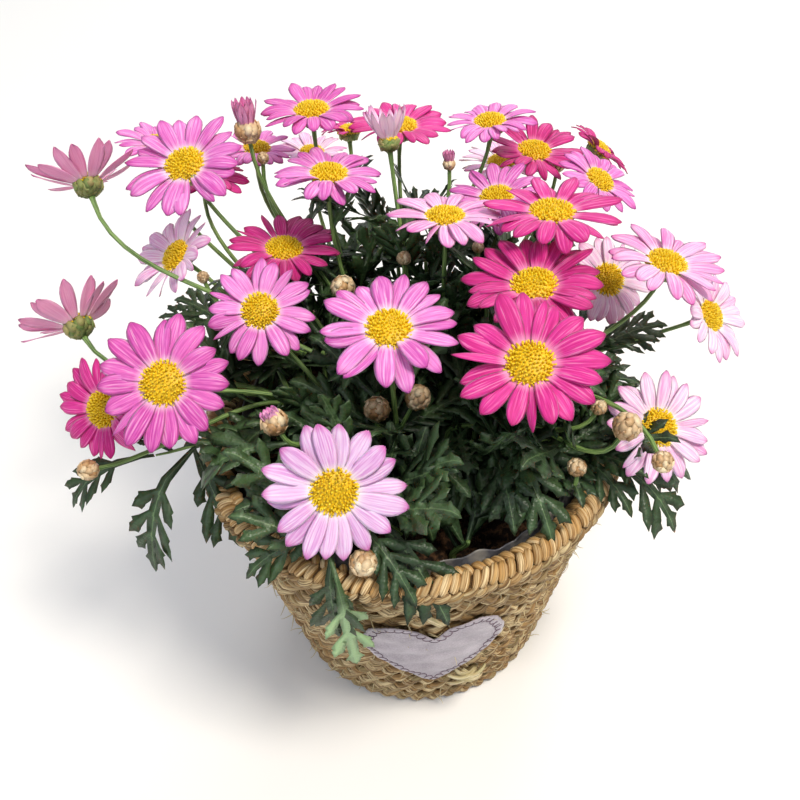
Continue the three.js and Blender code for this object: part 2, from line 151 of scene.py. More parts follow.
def new_material(name, **sockets):
    """A material and its shader. A value that is the same all over is set on the shader's own socket."""
    made = bpy.data.materials.new(name)
    made.use_nodes = True
    shader = made.node_tree.nodes["Principled BSDF"]
    for socket, value in sockets.items():
        shader.inputs[socket.replace("_", " ")].default_value = value
    return made, made.node_tree, shader


def lamp(name, place, target, size, watts, colour):
    light = bpy.data.objects.new(name, bpy.data.lights.new(name, "AREA"))
    light.data.size = size
    light.data.energy = watts
    light.data.color = linear(colour)[:3]
    away = unit(np.array(place) - np.array(target))
    side = unit(np.cross([0.0, 0.0, 1.0], away))
    turn = Matrix(np.column_stack([side, np.cross(away, side), away]).tolist()).to_4x4()
    light.matrix_world = Matrix.Translation(place) @ turn
    bpy.context.collection.objects.link(light)


bpy.ops.mesh.primitive_plane_add(size=6.0, location=(0, 0, -0.0004))
floor = bpy.context.object
floor.name = "floor"
# Matt painted board: even and pale, so that nothing but the shadow shows on it.
board, _, _ = new_material("floor_matt_paint", Base_Color=linear("#f4f3f1"), Roughness=0.9)
floor.data.materials.append(board)

PLANT_MIDDLE = (0.0, 0.03, 0.13)
lamp("key", (0.9, -0.55, 2.3), PLANT_MIDDLE, 0.7, 52.0, "#fff7ea")
lamp("fill", (-1.8, -1.8, 2.0), PLANT_MIDDLE, 2.2, 20.0, "#eaf1ff")
lamp("back", (0.5, 2.2, 1.9), PLANT_MIDDLE, 1.6, 26.0, "#ffffff")
world = bpy.data.worlds.new("sky")
world.use_nodes = True
world.node_tree.nodes["Background"].inputs["Color"].default_value = linear("#e8eef6")
world.node_tree.nodes["Background"].inputs["Strength"].default_value = 0.46
bpy.context.scene.world = world
bpy.context.scene.view_settings.view_transform = "Standard"
print("stage: floor and", len(bpy.data.lights), "lamps")

# %% [markdown]
# Helpers that turn shapes into pieces
#
# A shape is worked out as four arrays: its points, its faces, a mark on each point that a material reads
# to draw along the surface, and a tone that differs from one ray, leaf or strand to the next. Keeping
# them as plain arrays lets many small shapes be joined into one piece cheaply. Normals are recalculated
# once on the joined mesh, where every small shape is a closed shell, so all faces point outwards.

# %% From arrays to a mesh


def joined(parts):
    """Many small shapes as one: the points follow each other, and the faces count on."""
    points, faces, marks, tones, start = [], [], [], [], 0
    for p, f, m, t in parts:
        points.append(p)
        faces += [[i + start for i in face] for face in f]
        marks.append(m)
        tones.append(np.broadcast_to(t, len(p)))
        start += len(p)
    return np.concatenate(points), faces, np.concatenate(marks), np.concatenate(tones)


def finished(obj, slot, *nodes):
    """The piece rides on the one body and stands for its CAD nodes; slot is not used."""
    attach(obj, "root")
    if nodes:
        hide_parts(*nodes)
    print(f"{obj.name}: {len(obj.data.polygons)} faces")
    return obj


def piece(name, parts, material, slot, *nodes, smooth=True):
    points, faces, marks, tones = joined(parts)
    mesh = bpy.data.meshes.new(name)
    mesh.from_pydata((points * MM).tolist(), [], faces)
    mesh.attributes.new("mark", "FLOAT_VECTOR", "POINT").data.foreach_set("vector", marks.ravel())
    mesh.attributes.new("tone", "FLOAT", "POINT").data.foreach_set("value", tones)
    shell = bmesh.new()
    shell.from_mesh(mesh)
    bmesh.ops.recalc_face_normals(shell, faces=shell.faces)
    shell.to_mesh(mesh)
    shell.free()
    mesh.polygons.foreach_set("use_smooth", [smooth] * len(mesh.polygons))
    mesh.materials.append(material)
    obj = bpy.data.objects.new(name, mesh)
    bpy.context.collection.objects.link(obj)
    return finished(obj, slot, *nodes)


def bezier(a, b, c, d, t):
    """Points along the curve from a to d that leaves towards b and arrives from c."""
    t = np.asarray(t, float)[:, None]
    return a * (1 - t) ** 3 + 3 * b * t * (1 - t) ** 2 + 3 * c * t * t * (1 - t) + d * t**3


def tube(points, radii, sides=6, flat=1.0, outward=None, tone=0.0):
    """A closed tube along points. flat thins it along outward, which turns a rod into a ribbon."""
    points = np.asarray(points, float)
    count = len(points)
    radii = np.broadcast_to(radii, count)
    tangents = unit(np.gradient(points, axis=0))
    if outward is None:
        outward = np.cross(tangents[0], [0.3, 0.9, 0.1])
    normals = []
    normal = np.asarray(outward, float)
    for tangent in tangents:
        normal = unit(normal - (normal @ tangent) * tangent)
        normals.append(normal)
    normals = np.array(normals)
    across = np.cross(tangents, normals)
    angles = np.arange(sides) * 2 * math.pi / sides
    ring = (
        np.cos(angles)[None, :, None] * across[:, None, :]
        + flat * np.sin(angles)[None, :, None] * normals[:, None, :]
    )
    shell = (points[:, None, :] + ring * radii[:, None, None]).reshape(-1, 3)
    steps = np.concatenate([[0], np.cumsum(np.linalg.norm(np.diff(points, axis=0), axis=1))])
    marks = np.stack(
        [np.tile(np.cos(angles), count), np.tile(np.sin(angles), count), np.repeat(steps, sides)],
        axis=1,
    )
    faces = [
        [i * sides + j, i * sides + k, (i + 1) * sides + k, (i + 1) * sides + j]
        for i in range(count - 1)
        for j, k in zip(range(sides), [*range(1, sides), 0])
    ]
    faces += [list(range(sides))[::-1], list(range((count - 1) * sides, count * sides))]
    return shell, faces, marks, tone


def turned(profile, segments, wobble=None, tone=0.0):
    """A closed turned shape from [radius, height] pairs, which start and end on the axis or close."""
    loop = profile[0] == profile[-1]
    rows = np.array(profile[:-1] if loop else profile, float)
    angles = np.arange(segments) * 2 * math.pi / segments
    points, index = [], []
    for radius, height in rows:
        if radius == 0:
            index.append([len(points)] * segments)
            points.append([0.0, 0.0, height])
            continue
        index.append(list(range(len(points), len(points) + segments)))
        points += [[radius * math.cos(a), radius * math.sin(a), height] for a in angles]
    faces = []
    for i in range(len(rows) if loop else len(rows) - 1):
        here, there = index[i], index[(i + 1) % len(rows)]
        for j in range(segments):
            k = (j + 1) % segments
            face = list(dict.fromkeys([here[j], here[k], there[k], there[j]]))
            if len(face) > 2:
                faces.append(face)
    points = np.array(points)
    if wobble is not None:
        points = wobble(points)
    return points, faces, points.copy(), tone


rod = tube([[0, 0, 0], [0, 0, 5], [0, 0, 10]], 1.0)
print("a straight rod from the tube helper:", len(rod[0]), "points and", len(rod[1]), "faces")

# %% [markdown]
# Running a Geometry Nodes tree once
#
# Braids, knuckles, florets, bracts and stitches repeat by a rule, and Geometry Nodes state that rule
# directly: a few named inputs, and the whole row follows. Each tree here is run once on an empty start
# mesh, and its result is kept as a plain mesh, so nothing live is left for the export to trip on.

# %% Geometry Nodes helpers
SOCKETS = {int: "NodeSocketInt", float: "NodeSocketFloat", tuple: "NodeSocketVector"}


def new_tree(name, **inputs):
    """A tree with named inputs, whose kind and default come from the values given."""
    tree = bpy.data.node_groups.new(name, "GeometryNodeTree")
    for label, value in inputs.items():
        kind = SOCKETS.get(type(value), "NodeSocketMaterial")
        socket = tree.interface.new_socket(label.replace("_", " "), in_out="INPUT", socket_type=kind)
        if value is not None:
            socket.default_value = value
    tree.interface.new_socket("Geometry", in_out="OUTPUT", socket_type="NodeSocketGeometry")
    start = tree.nodes.new("NodeGroupInput")
    return tree, start.outputs


def end_tree(tree, geometry, material):
    """Realize Instances and Set Material close every tree, because the export drops instances."""
    plain = add(tree, "GeometryNodeRealizeInstances", {0: geometry})
    smooth = add(tree, "GeometryNodeSetShadeSmooth", {0: plain})
    painted = add(tree, "GeometryNodeSetMaterial", {0: smooth, "Material": material})
    add(tree, "NodeGroupOutput", {0: painted})
    return tree


def grow(name, tree, **values):
    """Runs a tree once and returns its result as a plain object, still in millimetres."""
    obj = bpy.data.objects.new(name, bpy.data.meshes.new(name + "_start"))
    bpy.context.collection.objects.link(obj)
    modifier = obj.modifiers.new("grow", "NODES")
    modifier.node_group = tree
    for item in tree.interface.items_tree:
        if item.in_out == "INPUT":
            value = values.get(item.name.replace(" ", "_"))
            if value is not None:
                modifier[item.identifier] = value
    view = bpy.context.evaluated_depsgraph_get()
    plain = bpy.data.meshes.new_from_object(obj.evaluated_get(view))
    obj.modifiers.remove(modifier)
    obj.data = plain
    return obj


def in_metres(obj, matrix=None):
    """Places a grown object by a matrix in millimetres and turns it to metres."""
    obj.data.transform(Matrix.Scale(MM, 4) @ (matrix or Matrix.Identity(4)))
    return obj


def gathered(name, objects):
    """Several plain meshes joined into one piece."""
    with bpy.context.temp_override(active_object=objects[0], selected_editable_objects=objects):
        bpy.ops.object.join()
    objects[0].name = objects[0].data.name = name
    return objects[0]


print("kinds of input a tree can take:", ", ".join(kind.__name__ for kind in SOCKETS), "and material")

# %% [markdown]
# Straw
#
# The basket is plaited from dried seagrass: flat leaves twisted into strands. Up close a strand is a
# bundle of fine lines running along it, tan with cream and greenish streaks, dull on the whole with a
# soft shine on the crests. A picture could carry that, but it would have to be unwrapped along every
# strand. Instead each strand carries a mark: where a point is round the strand and how far along. Noise
# that is read from that mark, stretched almost 30 to 1, gives fibres that follow every turn of the plait.

# %% Straw materials


def straw(name, light, body, shade, green, roughness):
    """Dried, twisted plant leaf: fibre lines about 0.8 mm apart, as fine as the picture can show."""
    made, tree, shader = new_material(name, Roughness=roughness, Specular_IOR_Level=0.35)
    mark = add(tree, "ShaderNodeAttribute", attribute_name="mark").outputs["Vector"]
    tone = add(tree, "ShaderNodeAttribute", attribute_name="tone").outputs["Fac"]
    own = add(tree, "ShaderNodeCombineXYZ", {"X": tone, "Y": tone, "Z": tone})
    stretched = add(tree, "ShaderNodeVectorMath", {0: mark, 1: (1.7, 1.7, 0.06)}, operation="MULTIPLY")
    apart = add(
        tree,
        "ShaderNodeVectorMath",
        {0: own, 1: (31.0, 17.0, 43.0), 2: stretched},
        operation="MULTIPLY_ADD",
    )
    where = apart
    fibre = add(tree, "ShaderNodeTexNoise", {"Vector": where, "Scale": 2.0, "Detail": 3.0})
    patch = add(tree, "ShaderNodeTexNoise", {"Vector": where, "Scale": 0.55, "Detail": 1.0})
    lines = add(tree, "ShaderNodeMapRange", {"Value": fibre, "From Min": 0.36, "From Max": 0.62})
    bands = add(tree, "ShaderNodeMapRange", {"Value": patch, "From Min": 0.42, "From Max": 0.62})
    lit = add(tree, "ShaderNodeMix", {0: bands, 6: linear(body), 7: linear(light)}, data_type="RGBA")
    aged = add(tree, "ShaderNodeMapRange", {"Value": tone, "From Min": 0.6, "From Max": 1.0})
    mossy = add(tree, "ShaderNodeMix", {0: aged, 6: lit, 7: linear(green)}, data_type="RGBA")
    lined = add(tree, "ShaderNodeMix", {0: lines, 6: linear(shade), 7: mossy}, data_type="RGBA")
    bump = add(tree, "ShaderNodeBump", {"Strength": 0.7, "Distance": 0.0006, "Height": fibre})
    feed(shader, {"Base Color": lined, "Normal": bump})
    return made


seagrass = straw("dried_seagrass_plait", "#dcc799", "#ad8a58", "#66492a", "#938459", 0.7)
golden = straw("golden_seagrass_border", "#f6dcaa", "#cfa364", "#98703f", "#bd9f69", 0.5)
raffia = straw("pale_raffia", "#f0e2be", "#d4c092", "#a8996a", "#c9c48f", 0.6)
print("straw materials:", seagrass.name, golden.name, raffia.name)

# %% [markdown]
# The plait
#
# The wall is a flat three-strand plait, sewn row over row. In a plait each strand swings from side to
# side once while it dips behind the others twice, so its path round the basket is two sine waves: one
# up and down the wall, one in and out of it at double the beat. Three strands a third of a beat apart
# weave past each other without meeting. The tree draws every row as copies of one circle whose points
# are moved on to that path. The same tree with two strands, and both waves at the same beat, is a rope,
# and rows of the plait that lie flat, one inside the other, make the underside.

# %% The plait tree
TURN = 2 * math.pi


def swept(tree, path, sides, radius, section, scale, own, length, caps=False):
    """Sweeps a round profile along a path. Each point gets the tone and the mark that straw reads."""
    for name, value in (("tone", own), ("length", length)):
        path = add(
            tree, "GeometryNodeStoreNamedAttribute", {0: path, "Name": name, "Value": value},
            data_type="FLOAT", domain="POINT",
        )
    circle = add(tree, "GeometryNodeCurvePrimitiveCircle", {"Resolution": sides, "Radius": radius})
    place = add(tree, "GeometryNodeInputPosition")
    around = add(tree, "ShaderNodeVectorMath", {0: place, "Scale": 1 / radius}, operation="SCALE")
    ring = add(
        tree, "GeometryNodeStoreNamedAttribute", {0: circle, "Name": "round", "Value": around},
        data_type="FLOAT_VECTOR", domain="POINT",
    )
    oval = add(tree, "GeometryNodeTransform", {0: ring, "Scale": section})
    inputs = {0: path, "Profile Curve": oval, "Scale": scale, "Fill Caps": caps}
    mesh = add(tree, "GeometryNodeCurveToMesh", inputs)
    around, along = (
        add(tree, "GeometryNodeInputNamedAttribute", {"Name": name}, data_type=kind)
        for name, kind in (("round", "FLOAT_VECTOR"), ("length", "FLOAT"))
    )
    lifted = add(tree, "ShaderNodeCombineXYZ", {"Z": along})
    both = add(tree, "ShaderNodeVectorMath", {0: around, 1: lifted}, operation="ADD")
    return add(
        tree, "GeometryNodeStoreNamedAttribute", {0: mesh, "Name": "mark", "Value": both},
        data_type="FLOAT_VECTOR", domain="POINT",
    )


def plait_tree():
    tree, given = new_tree(
        "plait", Rows=10, Strands=3, Cycles=16, Points=224, Beat=2.0, Shift=0.0, Foot=(67.0, 0.0, 0.0),
        Step=(2.0, 0.0, 12.0), Outward=(1.0, 0.0, 0.0), Swing=3.4, Weave=1.3, Width=5.0, Thickness=3.0,
        Wander=0.5, Seed=1, Material=None,
    )
    circle = add(tree, "GeometryNodeCurvePrimitiveCircle", {"Resolution": given["Points"], "Radius": 1.0})
    amount = add(tree, "ShaderNodeMath", {0: given["Rows"], 1: given["Strands"]}, operation="MULTIPLY")
    copies = add(tree, "GeometryNodeDuplicateElements", {0: circle, "Amount": amount}, domain="SPLINE")
    index = copies.outputs["Duplicate Index"]
    quotient = add(tree, "ShaderNodeMath", {0: index, 1: given["Strands"]}, operation="DIVIDE")
    row = add(tree, "ShaderNodeMath", {0: quotient}, operation="FLOOR")
    # A row starts anywhere in the beat, and every strand has a number of its own.
    start, own = (
        add(
            tree, "FunctionNodeRandomValue", {2: 0.0, 3: top, "ID": drawn_by, "Seed": given["Seed"]},
            data_type="FLOAT",
        )
        for top, drawn_by in ((TURN, row), (1.0, index))
    )
    known = {socket.name: socket for socket in given}
    known.update(index=index, row=row, start=start, own=own)
    known["factor"] = add(tree, "GeometryNodeSplineParameter")
    # Each line is a name, an operation and its values: turn is the angle round the basket, beat the angle
    # in the strand's own wave, swing and weave how far that wave carries it along the wall and out of it.
    for name, operation, *values in (
        ("strand", "MODULO", "index", "Strands"),
        ("turn", "MULTIPLY", "factor", TURN),
        ("run", "MULTIPLY_ADD", "Cycles", "turn", "start"),
        ("apart", "DIVIDE", TURN, "Strands"),
        ("beat", "MULTIPLY_ADD", "strand", "apart", "run"),
        ("wave", "SINE", "beat"),
        ("swing", "MULTIPLY", "wave", "Swing"),
        ("faster", "MULTIPLY_ADD", "beat", "Beat", "Shift"),
        ("dip", "SINE", "faster"),
        ("weave", "MULTIPLY", "dip", "Weave"),
        ("level", "ADD", "row", 0.5),
        ("apart in noise", "MULTIPLY", "own", 90.0),
    ):
        inputs = {i: known[v] if isinstance(v, str) else v for i, v in enumerate(values)}
        known[name] = add(tree, "ShaderNodeMath", inputs, operation=operation)
    turn = known["turn"]
    along_step = add(tree, "ShaderNodeVectorMath", {0: given["Step"]}, operation="NORMALIZE")
    section = given["Foot"]
    for way, name in ((given["Step"], "level"), (along_step, "swing"), (given["Outward"], "weave")):
        shift = add(tree, "ShaderNodeVectorMath", {0: way, "Scale": known[name]}, operation="SCALE")
        section = add(tree, "ShaderNodeVectorMath", {0: section, 1: shift}, operation="ADD")
    place, normal = (
        add(tree, "ShaderNodeVectorRotate", {"Vector": vector, "Angle": turn}, rotation_type="Z_AXIS")
        for vector in (section, given["Outward"])
    )
    moved = add(tree, "GeometryNodeSetPosition", {0: copies, "Position": place})
    # Noise carries a strand off its path and swells it here and there.
    noise = add(
        tree, "ShaderNodeTexNoise",
        {"Vector": place, "W": known["apart in noise"], "Scale": 0.11, "Detail": 1.0},
        noise_dimensions="4D",
    )
    inputs = {0: noise.outputs["Color"], 1: (0.5, 0.5, 0.5)}
    centred = add(tree, "ShaderNodeVectorMath", inputs, operation="SUBTRACT")
    push = add(tree, "ShaderNodeVectorMath", {0: centred, "Scale": given["Wander"]}, operation="SCALE")
    wandered = add(tree, "GeometryNodeSetPosition", {0: moved, "Offset": push})
    path = add(tree, "GeometryNodeSetCurveNormal", {0: wandered, "Normal": normal}, mode="FREE")
    radius = add(tree, "ShaderNodeSeparateXYZ", {0: section}).outputs["X"]
    length = add(tree, "ShaderNodeMath", {0: turn, 1: radius}, operation="MULTIPLY")
    size = add(tree, "ShaderNodeCombineXYZ", {"X": given["Thickness"], "Y": given["Width"], "Z": 1.0})
    inputs = {"Value": noise, "From Min": 0.3, "From Max": 0.7, "To Min": 0.86, "To Max": 1.14}
    swell = add(tree, "ShaderNodeMapRange", inputs)
    return end_tree(tree, swept(tree, path, 8, 0.5, size, swell, own, length), given["Material"])


plait = plait_tree()
print("plait tree:", len(plait.nodes), "nodes")

# %% [markdown]
# The wall
#
# The wall leans out from foot to rim. Ten plaited rows stand on each other, and just under the rim one
# two-strand rope covers the seam. Behind them a shell of straw in painted shade closes the gaps, as the
# inner side of the real plait does: without it light would fall through between the strands.

# %% Wall, rope and underside
WALL_TOP = 128.0
WALL_TOP_RADIUS = 91.0
WALL_FOOT_RADIUS = 67.0
WALL_THICKNESS = 8.0
ROPE_HEIGHT = 5.0
PLAIT_ROWS = 10


def wall_radius(z):
    """How wide the wall's outer face is at this height."""
    return WALL_FOOT_RADIUS + (WALL_TOP_RADIUS - WALL_FOOT_RADIUS) * z / WALL_TOP


LEAN = unit([WALL_TOP_RADIUS - WALL_FOOT_RADIUS, WALL_TOP])
OUTWARD = (float(LEAN[1]), 0.0, -float(LEAN[0]))
PLAIT_TOP = WALL_TOP - ROPE_HEIGHT
PLAIT_DEPTH = 3.0  # how far the plait's middle lies inside the wall's outer face
row_step = ((wall_radius(PLAIT_TOP) - WALL_FOOT_RADIUS) / PLAIT_ROWS, 0.0, PLAIT_TOP / PLAIT_ROWS)
rows = grow(
    "plaited_rows", plait, Rows=PLAIT_ROWS, Strands=3, Cycles=17, Points=17 * 13, Foot=(
        wall_radius(0) - PLAIT_DEPTH, 0.0, 0.0), Step=row_step, Outward=OUTWARD, Swing=3.3, Weave=1.5,
    Width=6.0, Thickness=3.3, Wander=1.3, Seed=4, Material=seagrass,
)
finished(in_metres(rows), "straw", "basket_wall")

rope = grow(
    "rope_under_rim", plait, Rows=1, Strands=2, Cycles=50, Points=50 * 9, Beat=1.0, Shift=TURN / 4, Foot=(
        wall_radius(PLAIT_TOP) - 1.6, 0.0, PLAIT_TOP), Step=(1.0, 0.0, ROPE_HEIGHT), Outward=OUTWARD,
    Swing=1.35, Weave=1.35, Width=3.1, Thickness=3.1, Wander=0.5, Seed=8, Material=seagrass,
)
finished(in_metres(rope), "straw", "basket_wall")

shell = [[wall_radius(z) - WALL_THICKNESS + inset, z] for inset, z in ((0, 0.6), (2.6, 0.6))]
shell += [[wall_radius(WALL_TOP) - WALL_THICKNESS + inset, WALL_TOP] for inset in (3.4, 0)]
shell.append(shell[0])
# Straw darkened as painted shade: it stands for the inner side of the plait and only shows between
# strands.
painted_shade_straw = straw("seagrass_in_shade", "#8d6f45", "#6b5030", "#46321c", "#5f5636", 0.9)
piece("wall_backing", [turned(shell, 96)], painted_shade_straw, "straw", "basket_wall")

BASE_RADIUS = WALL_FOOT_RADIUS - WALL_THICKNESS - 0.35
coils = grow(
    "underside_coils", plait, Rows=5, Strands=3, Cycles=9, Points=120, Foot=(BASE_RADIUS + 0.5, 0.0, 2.6),
    Step=(-11.2, 0.0, 0.0), Outward=(0.0, 0.0, -1.0), Swing=3.2, Weave=0.9, Width=5.6, Thickness=2.6,
    Wander=0.3, Seed=5, Material=seagrass,
)
finished(in_metres(coils), "straw", "basket_base")
disc = [[0.0, 3.2], [BASE_RADIUS, 3.2], [BASE_RADIUS, 8.0], [0.0, 8.0]]
# The underside's backing is straw in painted shade as well.
piece("underside_backing", [turned(disc, 64)], painted_shade_straw, "straw", "basket_base")

# %% [markdown]
# The rim
#
# The rim is worked over with a warmer, thicker straw: a row of fat, nearly upright knuckles wraps over
# the edge, a second row lies inside it, and a two-ply cord of the wall's own straw runs under them. Each
# knuckle is a short path on the surface of a ring, bent over the edge and turned a little, and swept
# with a round profile that tapers to both ends. The plies of the cord are the same shape, laid flatter
# and lower. So one tree, grown three times with other counts and slants, gives the whole rim.

# %% The knuckle tree
RIM_RADIUS = 88.5  # the ring's middle line
RIM_HEIGHT = 134.5
RIM_BEAD = 6.5


def knuckle_tree():
    tree, given = new_tree(
        "knuckles", Count=170, Points=8, Ring=88.5, Height=134.5, Bead=5.2, Middle=0.6, Reach=0.8,
        Slant=2.0, Size=3.6, Swell=0.8, Seed=1, Material=None,
    )
    straight = add(tree, "GeometryNodeCurvePrimitiveLine")
    line = add(tree, "GeometryNodeResampleCurve", {0: straight, "Count": given["Points"]})
    copies = add(
        tree, "GeometryNodeDuplicateElements", {0: line, "Amount": given["Count"]}, domain="SPLINE"
    )
    index = copies.outputs["Duplicate Index"]
    known = {socket.name: socket for socket in given}
    known.update(index=index, factor=add(tree, "GeometryNodeSplineParameter"))
    # No two knuckles are alike: each draws these numbers, every one from a seed of its own.
    draws = {
        "shift over": (-0.09, 0.09), "shift along": (-0.16, 0.16), "lean": (0.7, 1.3),
        "fullness": (0.6, 1.3), "tone": (0.0, 0.85), "share of size": (0.44, 0.56),
    }
    for number, (name, (low, high)) in enumerate(draws.items(), 1):
        seed = add(tree, "ShaderNodeMath", {0: given["Seed"], 1: number}, operation="ADD")
        inputs = {2: low, 3: high, "ID": index, "Seed": seed}
        known[name] = add(tree, "FunctionNodeRandomValue", inputs, data_type="FLOAT")
    # Each line is a name, an operation and its values: share runs from -1 to 1 along a knuckle, over is
    # the angle in the bead's section (0 faces out, a quarter turn up), turn the angle round the ring.
    for name, operation, *values in (
        ("share", "MULTIPLY_ADD", "factor", 2.0, -1.0),
        ("square", "MULTIPLY", "share", "share"),
        ("middle", "ADD", "Middle", "shift over"),
        ("over", "MULTIPLY_ADD", "share", "Reach", "middle"),
        ("step", "DIVIDE", TURN, "Count"),
        ("number", "ADD", "index", "shift along"),
        ("own turn", "MULTIPLY", "number", "step"),
        ("leaning", "MULTIPLY", "Slant", "lean"),
        ("slanted", "MULTIPLY", "share", "leaning"),
        ("onward", "DIVIDE", "slanted", "Ring"),
        ("turn", "ADD", "own turn", "onward"),
        ("hump", "SUBTRACT", 1.0, "square"),
        ("full", "MULTIPLY", "Swell", "fullness"),
        ("rise", "MULTIPLY", "hump", "full"),
        ("bead", "ADD", "Bead", "rise"),
        ("outward", "COSINE", "over"),
        ("upward", "SINE", "over"),
        ("radius", "MULTIPLY_ADD", "bead", "outward", "Ring"),
        ("height", "MULTIPLY_ADD", "bead", "upward", "Height"),
        ("length", "MULTIPLY", "share", 4.0),
        ("half", "MULTIPLY", "Size", "share of size"),
        ("fourth", "MULTIPLY", "square", "square"),
        ("left over", "SUBTRACT", 1.06, "fourth"),
        ("taper", "POWER", "left over", 0.5),
        ("thickness", "MULTIPLY", "half", "taper"),
    ):
        inputs = {i: known[v] if isinstance(v, str) else v for i, v in enumerate(values)}
        known[name] = add(tree, "ShaderNodeMath", inputs, operation=operation)
    section = add(tree, "ShaderNodeCombineXYZ", {"X": known["radius"], "Z": known["height"]})
    inputs = {"Vector": section, "Angle": known["turn"]}
    place = add(tree, "ShaderNodeVectorRotate", inputs, rotation_type="Z_AXIS")
    path = add(tree, "GeometryNodeSetPosition", {0: copies, "Position": place})
    mesh = swept(
        tree, path, 7, 1.0, (1.0, 1.0, 1.0), known["thickness"], known["tone"], known["length"], caps=True
    )
    return end_tree(tree, mesh, given["Material"])


knuckles = knuckle_tree()
KNUCKLES_ROUND = 150
common = {"Ring": RIM_RADIUS, "Height": RIM_HEIGHT, "Bead": RIM_BEAD - 2.3, "Material": golden}
upper = grow(
    "upper", knuckles, Count=KNUCKLES_ROUND, Middle=1.0, Reach=0.85, Slant=1.9, Swell=1.2, Seed=11,
    **common,
)
within = grow(
    "within", knuckles, Count=KNUCKLES_ROUND - 20, Middle=2.35, Reach=0.85, Slant=-1.6, Seed=37,
    **common,
)
rim = gathered("rim_knuckles", [upper, within])
finished(in_metres(rim), "golden_straw", "basket_rim")

# The cord under the knuckles: two plies, whose crossings show as slanted almonds about 7 mm long.
plies = grow(
    "rim_cord", knuckles, Count=118, Middle=-0.14, Reach=0.33, Slant=2.9, Swell=1.2, Size=4.0, Seed=23,
    Ring=RIM_RADIUS, Height=RIM_HEIGHT, Bead=RIM_BEAD - 2.4, Material=seagrass,
)
finished(in_metres(plies), "golden_straw", "basket_rim")

CORE = 4.4  # straw in painted shade inside the bead, which closes the gaps between the knuckles
turns = np.arange(12) * TURN / 12
bead = [[RIM_RADIUS + CORE * math.cos(a), RIM_HEIGHT + CORE * math.sin(a)] for a in turns]
piece("rim_core", [turned(bead + [bead[0]], 96)], painted_shade_straw, "golden_straw", "basket_rim")

# %% [markdown]
# Liner and soil
#
# Inside the rim stands a thin dark polythene film, crumpled where it was pushed into the basket, and
# bright only along its folds. It is turned as a fine shell and then creased: the creases are sums of
# sharp-crested waves, which fold like film, while plain noise would look like rubber. Below it lies
# peat, a crumbly dark surface with bits of bark, mostly hidden by leaves.

# %% Film
FILM = 0.5
LINER_RADIUS = 81.65
FILM_FOOT = 112  # down here the film is held between peat and wall, and stays smooth
FREE_EDGE = 128  # from here up it stands free, and its edge waves


def crumpled(points):
    """Film pushed against the wall: folds run upwards, grow towards its edge and lean over each other."""
    angle = np.arctan2(points[:, 1], points[:, 0])
    height = points[:, 2]
    free = np.clip((height - FILM_FOOT) / 25, 0, 1)
    folds = np.zeros(len(points))
    for count, drift, depth in ((9, 0.05, 1.3), (17, -0.09, 0.9), (31, 0.13, 0.55), (53, -0.2, 0.3)):
        folds += depth * (1 - 2 * np.abs(np.sin(0.5 * (count * angle + drift * height + 3 * count))))
    radius = np.hypot(points[:, 0], points[:, 1])
    inward = free * (1.6 - folds)
    radius = radius - np.clip(inward, 0, 5)
    edge = 1.3 * np.sin(7 * angle + 1) + 0.9 * np.sin(19 * angle) + 0.5 * np.sin(43 * angle)
    lifted = height + edge * np.clip((height - FREE_EDGE) / 9, 0, 1)
    return np.stack([radius * np.cos(angle), radius * np.sin(angle), lifted], axis=1)


heights = [FILM_FOOT, 116, 119, 122, 124, 126, 128, 130, 132, 133.5, 135, 136.2, 137]
film_profile = [[LINER_RADIUS, z] for z in heights]
film_profile += [[LINER_RADIUS - FILM, z] for z in heights[::-1]]
film_profile.append(film_profile[0])
# Black polythene film: smooth, thin and glossy. Its colour is painted grey with paler patches, a painted
# reflection of the sky, over the shader's own gloss.
film, tree, shader = new_material("black_polythene_film", Roughness=0.28, IOR=1.51)
where = add(tree, "ShaderNodeTexCoord").outputs["Object"]
sheen_patch_noise = add(tree, "ShaderNodeTexNoise", {"Vector": where, "Scale": 90.0, "Detail": 4.0})
painted_sheen_mask = add(tree, "ShaderNodeMapRange", {"Value": sheen_patch_noise, "From Min": 0.45, "From Max": 0.75})
# Both greys are painted reflection: the paler one lies in patches where the noise is high.
inputs = {0: painted_sheen_mask, 6: linear("#55555b"), 7: linear("#a39d93")}
grey = add(tree, "ShaderNodeMix", inputs, data_type="RGBA")
creases = add(tree, "ShaderNodeTexVoronoi", {"Vector": where, "Scale": 160.0}, feature="DISTANCE_TO_EDGE")
folded = add(tree, "ShaderNodeBump", {"Strength": 0.5, "Distance": 0.0012, "Height": creases})
feed(shader, {"Base Color": grey, "Normal": folded})
piece("liner_film", [turned(film_profile, 260, crumpled)], film, "film", "liner")

# %% Peat
SOIL_TOP = 120.0
PEAT_FOOT = 113.0
PEAT_RADIUS = 79.5


def crumbly(points):
    """Peat has lumps of several sizes: waves in all directions, each with a phase of its own."""
    out = points.copy()
    radius = np.hypot(points[:, 0], points[:, 1])
    height = np.zeros(len(points))
    for n in range(1, 26):
        heading = 2.4 * n
        scale = 0.12 + 0.045 * n
        run = points[:, 0] * math.cos(heading) + points[:, 1] * math.sin(heading)
        height += np.sin(scale * run + n * n) * 1.5 / (1 + 0.35 * n)
    at_edge = np.clip((PEAT_RADIUS - 0.5 - radius) / 8, 0, 1)
    out[:, 2] += np.where(points[:, 2] > SOIL_TOP - 3, height * at_edge, 0)
    return out


rings = [0.0] + list(np.linspace(2, PEAT_RADIUS - 0.5, 30))
peat_profile = [[0.0, PEAT_FOOT], [PEAT_RADIUS, PEAT_FOOT], [PEAT_RADIUS, SOIL_TOP - 1]]
peat_profile += [[r, SOIL_TOP - 0.5] for r in rings[::-1]]
